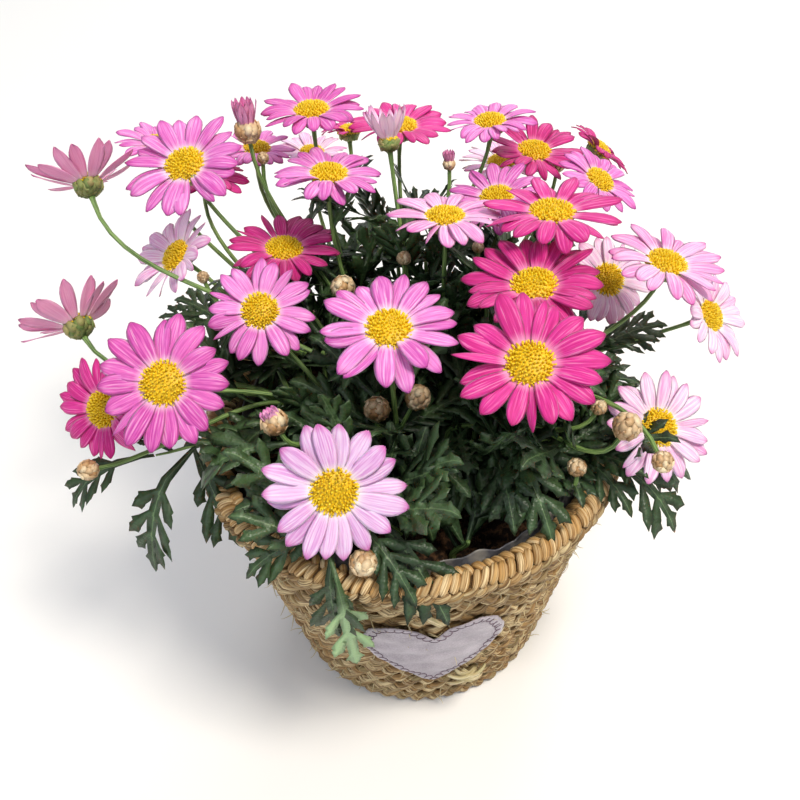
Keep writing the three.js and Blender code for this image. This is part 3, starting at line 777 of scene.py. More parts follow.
# Moist peat: almost black brown, quite matt, with paler dry crumbs.
peat, tree, shader = new_material("moist_peat", Roughness=0.95, Specular_IOR_Level=0.2)
where = add(tree, "ShaderNodeTexCoord").outputs["Object"]
lumps = add(tree, "ShaderNodeTexNoise", {"Vector": where, "Scale": 320.0, "Detail": 6.0})
dry = add(tree, "ShaderNodeMapRange", {"Value": lumps, "From Min": 0.48, "From Max": 0.72})
brown = add(tree, "ShaderNodeMix", {0: dry, 6: linear("#1d140e"), 7: linear("#6b4d35")}, data_type="RGBA")
rough = add(tree, "ShaderNodeBump", {"Strength": 1.0, "Distance": 0.0025, "Height": lumps})
feed(shader, {"Base Color": brown, "Normal": rough})
piece("peat_surface", [turned(peat_profile, 120, crumbly)], peat, "peat", "soil")

# %% [markdown]
# The cloth heart
#
# A heart of lavender felt is glued to the wall, with a scalloped line of dark thread sewn along its
# edge. It is drawn flat, in its own plane, and only then laid on the wall, which keeps the stitches at
# their true spacing and lets one formula curve cloth and thread alike. The stitches repeat along the
# outline, so a tree makes them: it spaces points along the outline and turns a small loop to each.
# The middle stays bare cloth.

# %% Heart outline, and how it is laid on the wall
HEART_WIDTH = 63.0
HEART_HEIGHT = 70.0
HEART_BEARING = math.radians(-87)
HEART_MIDDLE = 74.0
CLOTH = 0.9
heart_out = np.array([math.cos(HEART_BEARING), math.sin(HEART_BEARING), 0.0])
heart_across = np.array([-math.sin(HEART_BEARING), math.cos(HEART_BEARING), 0.0])


def heart_outline(count=40):
    """Right and left halves, each of two arcs, from the point at the bottom round to the notch."""
    side, top = HEART_WIDTH / 2, HEART_HEIGHT / 2
    corners = [[(0, -top), (side * 0.95, -top * 0.25), (side, top * 0.35)],
               [(side, top * 0.35), (side * 0.75, top * 1.35), (0, top * 0.5)]]
    t = np.linspace(0, 1, count, endpoint=False)[:, None]
    half = np.concatenate(
        [
            np.array(a) * (1 - t) ** 2 + 2 * np.array(b) * t * (1 - t) + np.array(c) * t * t
            for a, b, c in corners
        ]
    )
    mirrored = half[1:][::-1] * [-1, 1]
    return np.concatenate([half, [[0, top * 0.5]], mirrored])


def laid(points):
    """Lays flat points (across, up, proud) on the wall; the cloth dips a little between plaited rows."""
    z = HEART_MIDDLE + points[:, 1]
    pitch = PLAIT_TOP / PLAIT_ROWS
    dip = 0.35 * np.cos(TURN * z / pitch) + 0.2 * np.sin(0.37 * points[:, 0] + 0.21 * points[:, 1])
    radius = wall_radius(z) + 1.1 + points[:, 2] - dip
    deep = np.sqrt(radius**2 - points[:, 0] ** 2)
    flat = points[:, :1] * heart_across + deep[:, None] * heart_out
    flat[:, 2] = z
    return flat


outline = heart_outline()

# %% Cloth
# Lavender wool felt: matt, with a soft sheen at grazing angles and fine matted fibres instead of a weave.
felt, tree, shader = new_material(
    "lavender_wool_felt", Roughness=0.95, Sheen_Weight=0.35, Sheen_Roughness=0.6
)
where = add(tree, "ShaderNodeAttribute", attribute_name="mark").outputs["Vector"]
matted = add(tree, "ShaderNodeTexNoise", {"Vector": where, "Scale": 1.3, "Detail": 5.0})
clouds = add(tree, "ShaderNodeTexNoise", {"Vector": where, "Scale": 0.09, "Detail": 2.0})
fluff = add(tree, "ShaderNodeMix", {0: 0.5, 2: clouds, 3: matted})
worn = add(tree, "ShaderNodeMapRange", {"Value": fluff, "From Min": 0.38, "From Max": 0.64})
inputs = {0: worn, 6: linear("#968b94"), 7: linear("#bcb2ba")}
lavender = add(tree, "ShaderNodeMix", inputs, data_type="RGBA")
nap = add(tree, "ShaderNodeBump", {"Strength": 0.6, "Distance": 0.0004, "Height": matted})
feed(shader, {"Base Color": lavender, "Normal": nap})

RINGS = 18
steps = np.linspace(0, 1, RINGS + 1)[1:]
number = np.arange(len(outline))
fray = 1 + 0.006 * np.sin(number * 2.9) + 0.004 * np.sin(number * 1.7)
flat = [np.zeros((1, 2))] + [outline * s * (fray[:, None] if s == 1 else 1) for s in steps]
flat = np.concatenate(flat)
edge = len(outline)
rounded = np.array([0.0] + sum([[0.0 if s < 1 else 0.25] * edge for s in steps], []))
front = np.column_stack([flat, CLOTH - rounded])
back = np.column_stack([flat, rounded * 0.6])
faces = [[0, 1 + j, 1 + (j + 1) % edge] for j in range(edge)]
for ring in range(RINGS - 1):
    a, b = 1 + ring * edge, 1 + (ring + 1) * edge
    faces += [[a + j, b + j, b + (j + 1) % edge, a + (j + 1) % edge] for j in range(edge)]
other = [[i + len(flat) for i in face[::-1]] for face in faces]
last = 1 + (RINGS - 1) * edge
rim_faces = [
    [last + j, last + j + len(flat), last + (j + 1) % edge + len(flat), last + (j + 1) % edge]
    for j in range(edge)
]
both = np.concatenate([front, back])
felt_shape = (laid(both), faces + other + rim_faces, both.copy(), 0.0)
cloth = piece("felt_heart", [felt_shape], felt, "cloth", "heart_patch")

# %% The stitch tree
tree, given = new_tree("stitches", Count=84, Loop=2.9, Depth=2.9, Thread=0.44, Material=None)
tree.interface.new_socket("Outline", in_out="INPUT", socket_type="NodeSocketObject")
path = add(tree, "GeometryNodeObjectInfo", {"Object": given["Outline"]})
closed = add(tree, "GeometryNodeMeshToCurve", {0: path.outputs["Geometry"]})
spaced = add(tree, "GeometryNodeCurveToPoints", {0: closed, "Count": given["Count"]})
inputs = {
    "Resolution": 10, "Start": (-0.5, 0.0, 0.0), "Start Handle": (-0.52, 1.25, 0.0),
    "End Handle": (0.52, 1.25, 0.0), "End": (0.5, 0.0, 0.0),
}
arc = add(tree, "GeometryNodeCurvePrimitiveBezierSegment", inputs)
stretch = add(tree, "ShaderNodeCombineXYZ", {"X": given["Loop"], "Y": given["Depth"], "Z": 1.0})
loop = add(tree, "GeometryNodeTransform", {0: arc, "Scale": stretch})
inputs = {"Primary Axis": (0.0, 0.0, 1.0), "Secondary Axis": spaced.outputs["Tangent"]}
heading = add(tree, "FunctionNodeAxesToRotation", inputs, primary_axis="Z", secondary_axis="X")
placed = add(tree, "GeometryNodeInstanceOnPoints", {0: spaced, "Instance": loop, "Rotation": heading})
loose = add(tree, "GeometryNodeRealizeInstances", {0: placed})
yarn = add(tree, "GeometryNodeCurvePrimitiveCircle", {"Resolution": 5, "Radius": 0.5})
inputs = {0: loose, "Profile Curve": yarn, "Scale": given["Thread"], "Fill Caps": True}
stitch_tree = end_tree(tree, add(tree, "GeometryNodeCurveToMesh", inputs), given["Material"])
print("stitch tree:", len(stitch_tree.nodes), "nodes")

# %% Stitches
# Plum polyester sewing thread: dark, with a slight gloss that picks its loops out of the felt.
thread, tree, shader = new_material("plum_sewing_thread", Roughness=0.5)
where = add(tree, "ShaderNodeTexCoord").outputs["Object"]
ply = add(tree, "ShaderNodeTexNoise", {"Vector": where, "Scale": 900.0})
plum = add(tree, "ShaderNodeMix", {0: ply, 6: linear("#46343e"), 7: linear("#7d6574")}, data_type="RGBA")
feed(shader, {"Base Color": plum})

STITCHES = 52
inset = outline * (1 - 2.0 / HEART_WIDTH * 2 * 0.8) + [0, 0.3]
around = np.linalg.norm(np.roll(inset, -1, axis=0) - inset, axis=1).sum()
line = bpy.data.meshes.new("stitch_line")
closing = [(i, (i + 1) % len(inset)) for i in range(len(inset))]
line.from_pydata([(x, y, 0) for x, y in inset], closing, [])
guide = bpy.data.objects.new("stitch_line", line)
bpy.context.collection.objects.link(guide)
stitches = grow(
    "heart_stitches", stitch_tree, Count=STITCHES, Loop=1.04 * around / STITCHES, Outline=guide,
    Material=thread,
)
points = np.zeros(len(stitches.data.vertices) * 3)
stitches.data.vertices.foreach_get("co", points)
points = points.reshape(-1, 3) + [0, 0, CLOTH + 0.08]
stitches.data.vertices.foreach_set("co", laid(points).ravel())
bpy.data.objects.remove(guide)
finished(in_metres(stitches), "cloth", "heart_patch")

# %% [markdown]
# Loose straw: the knot, the strip and the frayed ends
#
# Where a strand ends it is tucked in, and its end shows as a small pale tuft of folded blades beside
# the heart's point. A flat strip of the same straw lies over the wall above the heart, and everywhere
# short broken fibres stand away from the plait. The tuft and the strip are ribbons bent along their own
# paths; the fibres are scattered over the wall by a tree, as there are hundreds of them.

# %% Knot and strip
KNOT_BEARING = math.radians(-75)
KNOT_HEIGHT = 38.0
rng = np.random.default_rng(12)
knot_out = np.array([math.cos(KNOT_BEARING), math.sin(KNOT_BEARING), 0.0])
knot_along = np.array([-math.sin(KNOT_BEARING), math.cos(KNOT_BEARING), 0.0])
knot_middle = knot_out * (wall_radius(KNOT_HEIGHT) + 1.0) + [0, 0, KNOT_HEIGHT]
ribbons = []
for n in range(13):
    turn = math.radians(rng.uniform(-38, 30)) + (math.pi if n % 5 == 0 else 0)
    way = math.cos(turn) * knot_along + math.sin(turn) * np.array([0, 0, 1.0])
    aside = np.cross(way, knot_out) * rng.uniform(-2.6, 2.6)
    reach = rng.uniform(6, 10)
    path = bezier(
        knot_middle - way * reach * 0.5 + aside,
        knot_middle + knot_out * rng.uniform(2.5, 6.0) + aside,
        knot_middle + way * reach * 0.7 + knot_out * rng.uniform(2.5, 4.5) + aside * 0.4,
        knot_middle + way * reach + knot_out * rng.uniform(-1.0, 0.6) + aside * 1.3,
        np.linspace(0, 1, 12),
    )
    ribbons.append(tube(path, np.linspace(1.8, 1.2, 12), 8, 0.4, knot_out, tone=rng.uniform(0, 1)))
piece("straw_tuft", ribbons, raffia, "straw", "straw_knot")


def on_wall(bearing, z, proud):
    """A place this far in front of the wall, at a bearing in degrees."""
    angle = math.radians(bearing)
    radius = wall_radius(z) + proud
    return np.array([radius * math.cos(angle), radius * math.sin(angle), z])


bends = ((-92.5, 127, 1.0), (-90, 120, 2.4), (-87, 112, 2.6), (-84.8, 106, 1.8))
strip = bezier(*(on_wall(*bend) for bend in bends), np.linspace(0, 1, 12))
ribbon = tube(strip, 1.7, 8, 0.18, on_wall(-82, 100, 1.0) * [1, 1, 0], tone=0.1)
piece("loose_strip", [ribbon], raffia, "straw")

# %% Frayed ends
tree, given = new_tree("frayed_ends", Density=0.007, Length=5.0, Size=0.32, Seed=3, Material=None)
tree.interface.new_socket("Wall", in_out="INPUT", socket_type="NodeSocketObject")
wall = add(tree, "GeometryNodeObjectInfo", {"Object": given["Wall"]})
inputs = {0: wall.outputs["Geometry"], "Density": given["Density"], "Seed": given["Seed"]}
spread = add(tree, "GeometryNodeDistributePointsOnFaces", inputs)
inputs = {0: (-1.5, -1.5, -3.1), 1: (1.5, 1.5, 3.1), "Seed": given["Seed"]}
tilt = add(tree, "FunctionNodeRandomValue", inputs, data_type="FLOAT_VECTOR")
tilted = add(tree, "FunctionNodeEulerToRotation", {0: tilt})
inputs = {"Rotation": spread.outputs["Rotation"], "Rotate By": tilted}
turned_fibre = add(tree, "FunctionNodeRotateRotation", inputs, rotation_space="LOCAL")
inputs = {
    "Resolution": 4, "Start": (0.0, 0.0, 0.0), "Start Handle": (0.0, 0.0, 0.4),
    "End Handle": (0.1, 0.0, 0.8), "End": (0.35, 0.1, 1.0),
}
bow = add(tree, "GeometryNodeCurvePrimitiveBezierSegment", inputs)
other_seed = add(tree, "ShaderNodeMath", {0: given["Seed"], 1: 5.0}, operation="ADD")
long = add(tree, "FunctionNodeRandomValue", {2: 0.5, 3: 1.4, "Seed": other_seed}, data_type="FLOAT")
reach = add(tree, "ShaderNodeMath", {0: long, 1: given["Length"]}, operation="MULTIPLY")
inputs = {0: spread, "Instance": bow, "Rotation": turned_fibre, "Scale": reach}
fibres = add(tree, "GeometryNodeInstanceOnPoints", inputs)
loose = add(tree, "GeometryNodeRealizeInstances", {0: fibres})
factor = add(tree, "GeometryNodeSplineParameter")
thin = add(tree, "ShaderNodeMath", {0: factor, 1: -0.8, 2: 1.0}, operation="MULTIPLY_ADD")
finer = add(tree, "ShaderNodeMath", {0: thin, 1: given["Size"]}, operation="MULTIPLY")
round_fibre = add(tree, "GeometryNodeCurvePrimitiveCircle", {"Resolution": 4, "Radius": 1.0})
inputs = {0: loose, "Profile Curve": round_fibre, "Scale": finer, "Fill Caps": True}
end_tree(tree, add(tree, "GeometryNodeCurveToMesh", inputs), given["Material"])
LOWEST_FRAY = 6.5  # a fibre that hangs from here still ends above the floor
sides = [[wall_radius(z) - 0.5, z] for z in (LOWEST_FRAY, 126.0)]
scatter = turned(sides + [[60.0, 126.0], [60.0, 125.0]], 48)
scatter_mesh = bpy.data.meshes.new("scatter")
scatter_mesh.from_pydata(scatter[0].tolist(), [], [f for f in scatter[1] if max(f) < 96])
scatter_wall = bpy.data.objects.new("scatter", scatter_mesh)
bpy.context.collection.objects.link(scatter_wall)
frays = grow("frayed_fibres", tree, Wall=scatter_wall, Material=raffia)
bpy.data.objects.remove(scatter_wall)
finished(in_metres(frays), "straw")

# %% [markdown]
# The readings
#
# These are the same readings that the CAD model grew from. A bloom: the pixel of its disc, how wide it
# looks in pixels, its real width, how squarely it faces the eye, which way it tips in the picture, how
# far its rays rise, its looks, and how far its stalk bows sideways. A bud: the same, with its own width.
# A leafy shoot ends at a pixel and a depth, and so does each of its leaves.

# %% Blooms, buds and shoots
BLOOMS = {
    "back_left": [
        (88, 184, 112, 49, -0.35, 107, 19, "dusty", 2),
        (158, 146, 84, 41, 0.45, 92, 6, "orchid"),
        (205, 177, 92, 44, 0.42, 88, 4, "hot"),
    ],
    "left": [
        (78, 325, 116, 51, -0.35, 119, 19, "dusty"),
        (178, 257, 105, 48, 0.52, 147, 14, "pale"),
        (105, 409, 112, 47, 0.75, 185, 4, "hot"),
    ],
    "front_left": [
        (164, 384, 143, 56, 0.97, 150, 6, "rose"),
        (260, 312, 113, 47, 0.95, 100, 4, "orchid"),
    ],
    "front": [
        (334, 491, 150, 55.5, 0.97, 270, 4, "lilac"),
        (389, 330, 147, 57, 0.78, 92, 4, "orchid"),
    ],
    "centre_left": [
        (284, 251, 116, 52, 0.6, 92, 6, "magenta"),
        (186, 166, 128, 56, 0.7, 118, 8, "orchid"),
    ],
    "back_inner": [
        (257, 151, 76, 37, 0.5, 90, 8, "orchid"),
        (312, 113, 108, 49, 0.45, 96, 10, "rose"),
        (329, 176, 111, 48, 0.48, 90, 4, "orchid"),
        (312, 155, 74, 38, 0.45, 92, 16, "pale"),
    ],
    "back": [
        (349, 133, 62, 33, 0.15, 95, 14, "hot"),
        (389, 143, 60, 26.6, 0.1, 97, 48, "pale"),
        (400, 128, 104, 49, 0.4, 88, 6, "hot"),
        (490, 124, 94, 44, 0.4, 92, 6, "orchid", 8),
    ],
    "centre": [
        (445, 219, 120, 50, 0.42, 90, 4, "blush"),
        (497, 200, 104, 47, 0.66, 98, 8, "orchid"),
        (503, 164, 93, 48.5, 0.45, 92, 8, "pale"),
        (534, 153, 102, 50, 0.55, 78, 10, "magenta"),
    ],
    "front_right": [
        (530, 365, 157, 56, 0.92, 90, 8, "hot"),
        (534, 287, 148, 58, 0.68, 90, 8, "magenta"),
        (552, 214, 140, 57.5, 0.48, 84, 4, "hot"),
    ],
    "back_right": [
        (598, 151, 76, 39, 0.12, 48, 10, "magenta"),
        (598, 182, 92, 43, 0.5, 50, 4, "orchid"),
        (607, 280, 98, 46, 0.88, 20, 0, "pale"),
    ],
    "right": [
        (666, 265, 124, 52, 0.52, 66, 6, "blush"),
        (708, 316, 105, 47, 0.5, 20, 14, "pale"),
        (657, 428, 118, 48, 0.85, 10, 6, "pale"),
    ],
}
BUDS = {
    "left": [(88, 470, 21, 8.7, 190)],
    "front_left": [(273, 420, 28, 11, 120, 1.12)],
    "front": [(363, 563, 28, 10.6, 260), (377, 409, 26, 11, 90), (418, 397, 26, 11, 60)],
    "centre_left": [(343, 287, 24, 10.4, 100), (203, 277, 12, 5.4, 110)],
    "back_inner": [(246, 120, 27, 12, 100, 1.7), (263, 158, 12, 5.5, 90)],
    "back": [(449, 160, 13, 6, 92, 1.6)],
    "centre": [(478, 247, 12, 5.2, 90), (404, 258, 14, 6.2, 90)],
    "front_right": [(577, 467, 19, 7.6, 90), (599, 407, 16, 6.4, 60)],
    "back_right": [(558, 164, 16, 8, 80)],
    "right": [(627, 426, 29, 11, 60), (663, 462, 22, 8.3, 300, 1, 6)],
}
SHOOTS = {
    "left": ((150, 456, 395), [(73, 508, 396), (120, 430, 400), (243, 548, 385), (156, 572, 398),
                               (262, 440, 392)]),
    "front_left": ((328, 558, 342), [(357, 664, 382), (339, 637, 368), (246, 579, 352), (417, 607, 342),
                                     (449, 626, 352)]),
    "front_right": ((490, 425, 382), [(553, 547, 355), (515, 537, 354), (572, 493, 368), (430, 510, 365),
                                      (450, 420, 380)]),
    "right": ((575, 445, 385), [(681, 443, 352), (649, 479, 358), (675, 533, 380), (632, 518, 370),
                                (691, 480, 392), (598, 500, 372), (640, 386, 368)]),
    "right_high": ((590, 350, 410), [(668, 326, 415), (660, 342, 422), (612, 392, 420), (560, 330, 420)]),
    "left_high": ((215, 325, 440), [(158, 318, 445), (174, 300, 450), (210, 290, 460), (265, 350, 430)]),
    "middle_right": ((440, 300, 420), [(405, 265, 425), (480, 290, 415), (430, 345, 400),
                                       (470, 340, 415)]),
    "middle_back": ((395, 225, 465), [(370, 195, 470), (430, 190, 475), (350, 240, 465),
                                      (440, 250, 470)]),
    "back_right": ((520, 250, 480), [(560, 240, 495), (490, 225, 500), (590, 260, 480),
                                     (545, 290, 475)]),
}
SHOOT_ROOTS = {"right": 0.75, "left_high": 0.28}
TRUNK_HEIGHT = 16.0
GAP = 0.35
heads = {}
for spray, readings in BLOOMS.items():
    for number, reading in enumerate(readings, 1):
        x, y, width, span, openness, lean, cup, look = reading[:8]
        heads[f"{spray}_{number}"] = {
            "spray": spray, "place": place_of(x, y, FOCAL * span / width), "span": span, "cup": cup,
            "facing": facing_of(x, y, openness, lean), "look": look, "neck_depth": 0.12 * span + 1.2,
            "sway": reading[8] if len(reading) > 8 else 0.0,
        }
buds = []
for spray, readings in BUDS.items():
    for reading in readings:
        x, y, width, span, lean = reading[:5]
        long = reading[5] if len(reading) > 5 else 1.0
        buds.append({
            "spray": spray, "place": place_of(x, y, FOCAL * span / width), "span": span, "long": long,
            "facing": facing_of(x, y, 0.3, lean), "sway": reading[6] if len(reading) > 6 else 0.0,
        })
print("readings:", len(heads), "blooms,", len(buds), "buds,", len(SHOOTS), "leafy shoots")

# %% [markdown]
# Ray florets
#
# What looks like one petal is a whole floret: a strap about a third as wide as it is long, narrow at
# its foot and blunt at its tip, where two notches mark the ends of two grooves that run its length. Most
# blooms have 18 to 21 of them in two overlapping layers. Each ray is a small closed shell whose two skins
# meet in a sharp edge, bent along its own path. No two are alike: how far a ray rises, droops, bends
# aside and twists is drawn at random from a range that fits the bloom, always from the same seed.

# %% One ray
ROWS = np.array([0, 0.07, 0.18, 0.32, 0.47, 0.62, 0.76, 0.87, 0.95, 1.0])
WIDTHS = np.array([0.42, 0.5, 0.67, 0.86, 0.97, 1.0, 0.93, 0.76, 0.52, 0.22])
ACROSS = np.linspace(-1, 1, 7)
NOTCH = np.array([0.05, 0.012, 0.018, 0.0, 0.018, 0.012, 0.05])
GROOVE = np.array([-0.25, 0.3, -0.22, 0.3, -0.22, 0.3, -0.25])
SKIN = 0.28
DISC_SHARE = 0.155  # the yellow disc's radius as a share of the bloom's width

index = np.arange(len(ROWS) * 7).reshape(len(ROWS), 7)
inner = index.copy()
inner[1:-1, 1:-1] = len(ROWS) * 7 + np.arange((len(ROWS) - 2) * 5).reshape(-1, 5)
RAY_FACES = []
for i in range(len(ROWS) - 1):
    for j in range(6):
        RAY_FACES.append([index[i, j], index[i, j + 1], index[i + 1, j + 1], index[i + 1, j]])
        RAY_FACES.append([inner[i, j], inner[i + 1, j], inner[i + 1, j + 1], inner[i, j + 1]])
RAY_FACES = [[int(v) for v in face] for face in RAY_FACES]
print("one ray:", len(RAY_FACES), "faces in two skins")


def ray(start, reach, width, rise, arch, bend, twist, lift, curl):
    """One ray along +X from start to reach, tilted by rise; returns points, faces and marks."""
    u = ROWS[:, None] - NOTCH[None, :] * (ROWS[:, None] ** 6)
    length = reach - start
    out = start + length * u * math.cos(rise)
    high = lift + length * u * math.sin(rise) + arch * 4 * u * (1 - u) - curl * u**3
    slope = math.sin(rise) + (arch * 4 * (1 - 2 * u) - 3 * curl * u**2) / length
    half = 0.5 * width * WIDTHS[:, None] * ACROSS[None, :]
    groove = 0.5 * GROOVE[None, :] * np.minimum(1, 4 * u) * (1.1 - 0.5 * u)
    droop = -0.45 * ACROSS[None, :] ** 2 * u
    roll = twist * u
    side = half * np.cos(roll) + bend * u**2 * length * 0.12
    proud = groove + droop + half * np.sin(roll)
    top = np.stack([out - proud * slope * 0.6, side, high + proud], axis=-1)
    under = top - np.stack([0 * u, 0 * u, SKIN + 0 * u], axis=-1)
    points = np.concatenate([top.reshape(-1, 3), under[1:-1, 1:-1].reshape(-1, 3)])
    across = np.broadcast_to(ACROSS[None, :], u.shape)
    mark = np.stack([u, across, 0 * u], axis=-1)
    below = np.stack([u, across, 0 * u + 1], axis=-1)
    marks = np.concatenate([mark.reshape(-1, 3), below[1:-1, 1:-1].reshape(-1, 3)])
    return points, RAY_FACES, marks


def about_z(points, angle):
    """Points turned about the head's own axis."""
    c, s = math.cos(angle), math.sin(angle)
    return points @ np.array([[c, s, 0], [-s, c, 0], [0, 0, 1]])


def head_frame(facing):
    """Rows are the head's own axes: across the picture, up the picture, and the way it faces."""
    x = unit(right - (right @ facing) * facing)
    return np.stack([x, np.cross(facing, x), facing])


# Some blooms differ from the rest: how many rays, how deeply they droop, and which rays stand up.
HABITS = {
    "back_left_1": {"rays": 15, "droop": -3.0, "slim": 0.84},
    "left_1": {"rays": 15, "droop": -3.0, "slim": 0.84},
    "front_1": {"rays": 19, "droop": 0.5}, "front_2": {"rays": 18, "droop": 1.0},
    "front_right_1": {"rays": 19, "droop": 0.5}, "back_2": {"rays": 14, "droop": -6.0},
    "left_2": {"rays": 17, "droop": 1.5}, "right_2": {"rays": 17, "droop": 2.0},
}


def rays_of(name, head):
    """All rays of one bloom. Its name gives the seed, so no other bloom changes it."""
    rng = np.random.default_rng(sum(map(ord, name)) * 7 + 1)
    habit = HABITS.get(name, {})
    count = habit.get("rays", int(rng.integers(18, 22)))
    cup = math.radians(head["cup"])
    droop = habit.get("droop", 1.0)
    half = head["span"] / 2
    disc = DISC_SHARE * head["span"]
    width = 1.3 * half / math.sqrt(count) * habit.get("slim", 1.0)
    parts = []
    turn = rng.uniform(0, TURN)
    shade = rng.uniform(0.3, 0.7)
    for k in range(count):
        layer = k % 2
        folded = rng.uniform() < 0.08 and head["look"] != "dusty"  # a ray that never opened flat
        angle = turn + TURN * (k + rng.uniform(-0.27, 0.27)) / count
        reach = half * rng.uniform(0.9, 1.04)
        points, faces, marks = ray(
            start=0.72 * disc * math.cos(cup),
            reach=reach,
            width=width * rng.uniform(0.84, 1.06) * (0.6 if folded else 1.0),
            rise=cup + rng.normal(0.0, 0.065) + 0.03 * layer,
            arch=rng.uniform(0.5, 1.9),
            bend=rng.uniform(-0.9, 0.9),
            twist=rng.normal(0, 0.26) + (0.6 if folded else 0.0),
            lift=0.5 + 0.45 * layer,
            curl=droop + rng.uniform(-1.2, 1.6),
        )
        points = about_z(points, angle) @ head_frame(head["facing"]) + head["place"]
        parts.append((points, faces, marks, np.clip(shade + rng.uniform(-0.4, 0.4), 0, 1)))
    return parts


# %% [markdown]
# Ray colours
#
# The rays of this marguerite fade as they age, so one plant carries every shade from deep magenta to
# nearly white. All share one pattern: a white heart at the foot of each ray, fine lines along it, the
# pale ones partly painted highlight, grooves darkened as painted shade, a stronger tip, and a paler,
# duller back. One function draws that pattern from five colours.
# The mark says how far along, how far across and on which side a point is, so the pattern bends with
# the ray. A thin petal lets some light through; a little subsurface scattering gives that glow.

# %% Ray materials


def petal(name, body, stripe, tip, heart, back):
    """Living ray floret: matt with a faint velvety sheen, fine lines along it, and a translucent glow."""
    made, tree, shader = new_material(
        name, Roughness=0.55, Specular_IOR_Level=0.25, Subsurface_Weight=0.12, Subsurface_Scale=0.0015,
        Sheen_Weight=0.12, Sheen_Roughness=0.5,
    )

    mark = add(tree, "ShaderNodeAttribute", attribute_name="mark").outputs["Vector"]
    tone = add(tree, "ShaderNodeAttribute", attribute_name="tone").outputs["Fac"]
    along, across, under = add(tree, "ShaderNodeSeparateXYZ", {0: mark}).outputs
    where = add(tree, "ShaderNodeCombineXYZ", {"X": along, "Y": across, "Z": tone})
    own = add(tree, "ShaderNodeVectorMath", {0: where, 1: (1.3, 4.4, 57.0)}, operation="MULTIPLY")
    lines = add(tree, "ShaderNodeTexNoise", {"Vector": own, "Scale": 1.4, "Detail": 2.0})
    from_middle = add(tree, "ShaderNodeMath", {0: across}, operation="ABSOLUTE")
    past_groove = add(tree, "ShaderNodeMath", {0: from_middle, 1: 0.34}, operation="SUBTRACT")
    off_groove = add(tree, "ShaderNodeMath", {0: past_groove}, operation="ABSOLUTE")
    # Each part of the pattern: what it follows, between which two values, and how strong it is at both.
    strength = {}
    for part, value, low, high, at_low, at_high in (
        ("streak", lines, 0.42, 0.68, 0.0, 1.0),
        # Painted shade: the ray is darker along its grooves.
        ("groove", off_groove, 0.0, 0.13, 0.75, 0.0),
        ("own shade", tone, 0.0, 1.0, -0.2, 0.32),
        # Light streaks along the ray: partly its own colour, partly painted highlight.
        ("pale line and painted highlight", lines, 0.3, 0.47, 0.34, 0.0),
        ("tip", along, 0.8, 1.0, 0.0, 0.75),
        ("foot", along, 0.02, 0.3, 0.92, 0.0),
    ):
        inputs = {"Value": value, "From Min": low, "From Max": high, "To Min": at_low, "To Max": at_high}
        strength[part] = add(tree, "ShaderNodeMapRange", inputs, interpolation_type="SMOOTHSTEP")
    streaked = add(tree, "ShaderNodeMath", {0: strength["streak"], 1: 0.8}, operation="MULTIPLY")
    either = add(tree, "ShaderNodeMath", {0: streaked, 1: strength["groove"]}, operation="MAXIMUM")
    softer = add(tree, "ShaderNodeMath", {0: either, 1: 0.85}, operation="MULTIPLY")
    inputs = {0: softer, 1: strength["own shade"]}
    dark = add(tree, "ShaderNodeMath", inputs, operation="ADD", use_clamp=True)
    behind = add(tree, "ShaderNodeMath", {0: under, 1: 0.68}, operation="MULTIPLY")
    colour = linear(body)
    for share, laid_over in (
        (dark, stripe),
        (strength["pale line and painted highlight"], heart),
        (strength["tip"], tip),
        (strength["foot"], heart),
        (behind, back),
    ):
        inputs = {0: share, 6: colour, 7: linear(laid_over)}
        colour = add(tree, "ShaderNodeMix", inputs, data_type="RGBA")
    bump = add(tree, "ShaderNodeBump", {"Strength": 0.5, "Distance": 0.0003, "Height": lines})
    feed(shader, {"Base Color": colour, "Normal": bump})
    return made


LOOKS = {}
for look, slot_name, *recipe in (
    ("pale", "petal_pale", "ray_nearly_white", "#f7d9ee", "#e094cb", "#d86fb6", "#fffdfb", "#fbdfe9"),
    ("blush", "petal_pale", "ray_blush_pink", "#f3b8de", "#d972b8", "#cf4fa8", "#fff4fb", "#e6a9d2"),
    ("lilac", "petal_pale", "ray_pale_lilac", "#eec6ea", "#d389cb", "#cb47a8", "#fffcfd", "#e2b5da"),
    ("orchid", "petal_pink", "ray_orchid_pink", "#ea8bd1", "#c748a8", "#b43495", "#fdeffa", "#dd96cc"),
    ("rose", "petal_pink", "ray_rose_pink", "#e26cbe", "#b83495", "#a82884", "#fbdcef", "#d583bb"),
    ("hot", "petal_hot", "ray_hot_pink", "#de3697", "#bd1576", "#ac0e66", "#fbb8dc", "#d65a9c"),
    ("magenta", "petal_magenta", "ray_magenta", "#d12b88", "#9f0d5c", "#8e0a50", "#f09cca", "#b94688"),
    ("dusty", "petal_pink", "ray_dusty_back", "#efa6cf", "#c94e96", "#bb3f88", "#f7e2e6", "#eb9cc2"),
):
    LOOKS[look] = (slot_name, petal(*recipe))
print("looks of rays:", ", ".join(LOOKS))
for name, head in heads.items():
    slot_name, material = LOOKS[head["look"]]
    piece(f"rays_{name}", rays_of(name, head), material, slot_name, f"bloom_{name}")

# %% [markdown]
# Discs, bracts and buds
#
# The yellow disc is itself a crowd of tiny florets, set in the spiral that a sunflower has: each one a
# golden angle further round and a little further out. The cup of bracts under a bloom follows the same
# rule on a round surface, and so does a closed bud, which is nothing but bracts. So one tree serves all
# three: it sets small shapes on an oval at golden angles, upright for florets and lying flat for bracts.

# %% The golden-angle tree
GOLDEN_ANGLE = math.pi * (3 - math.sqrt(5))


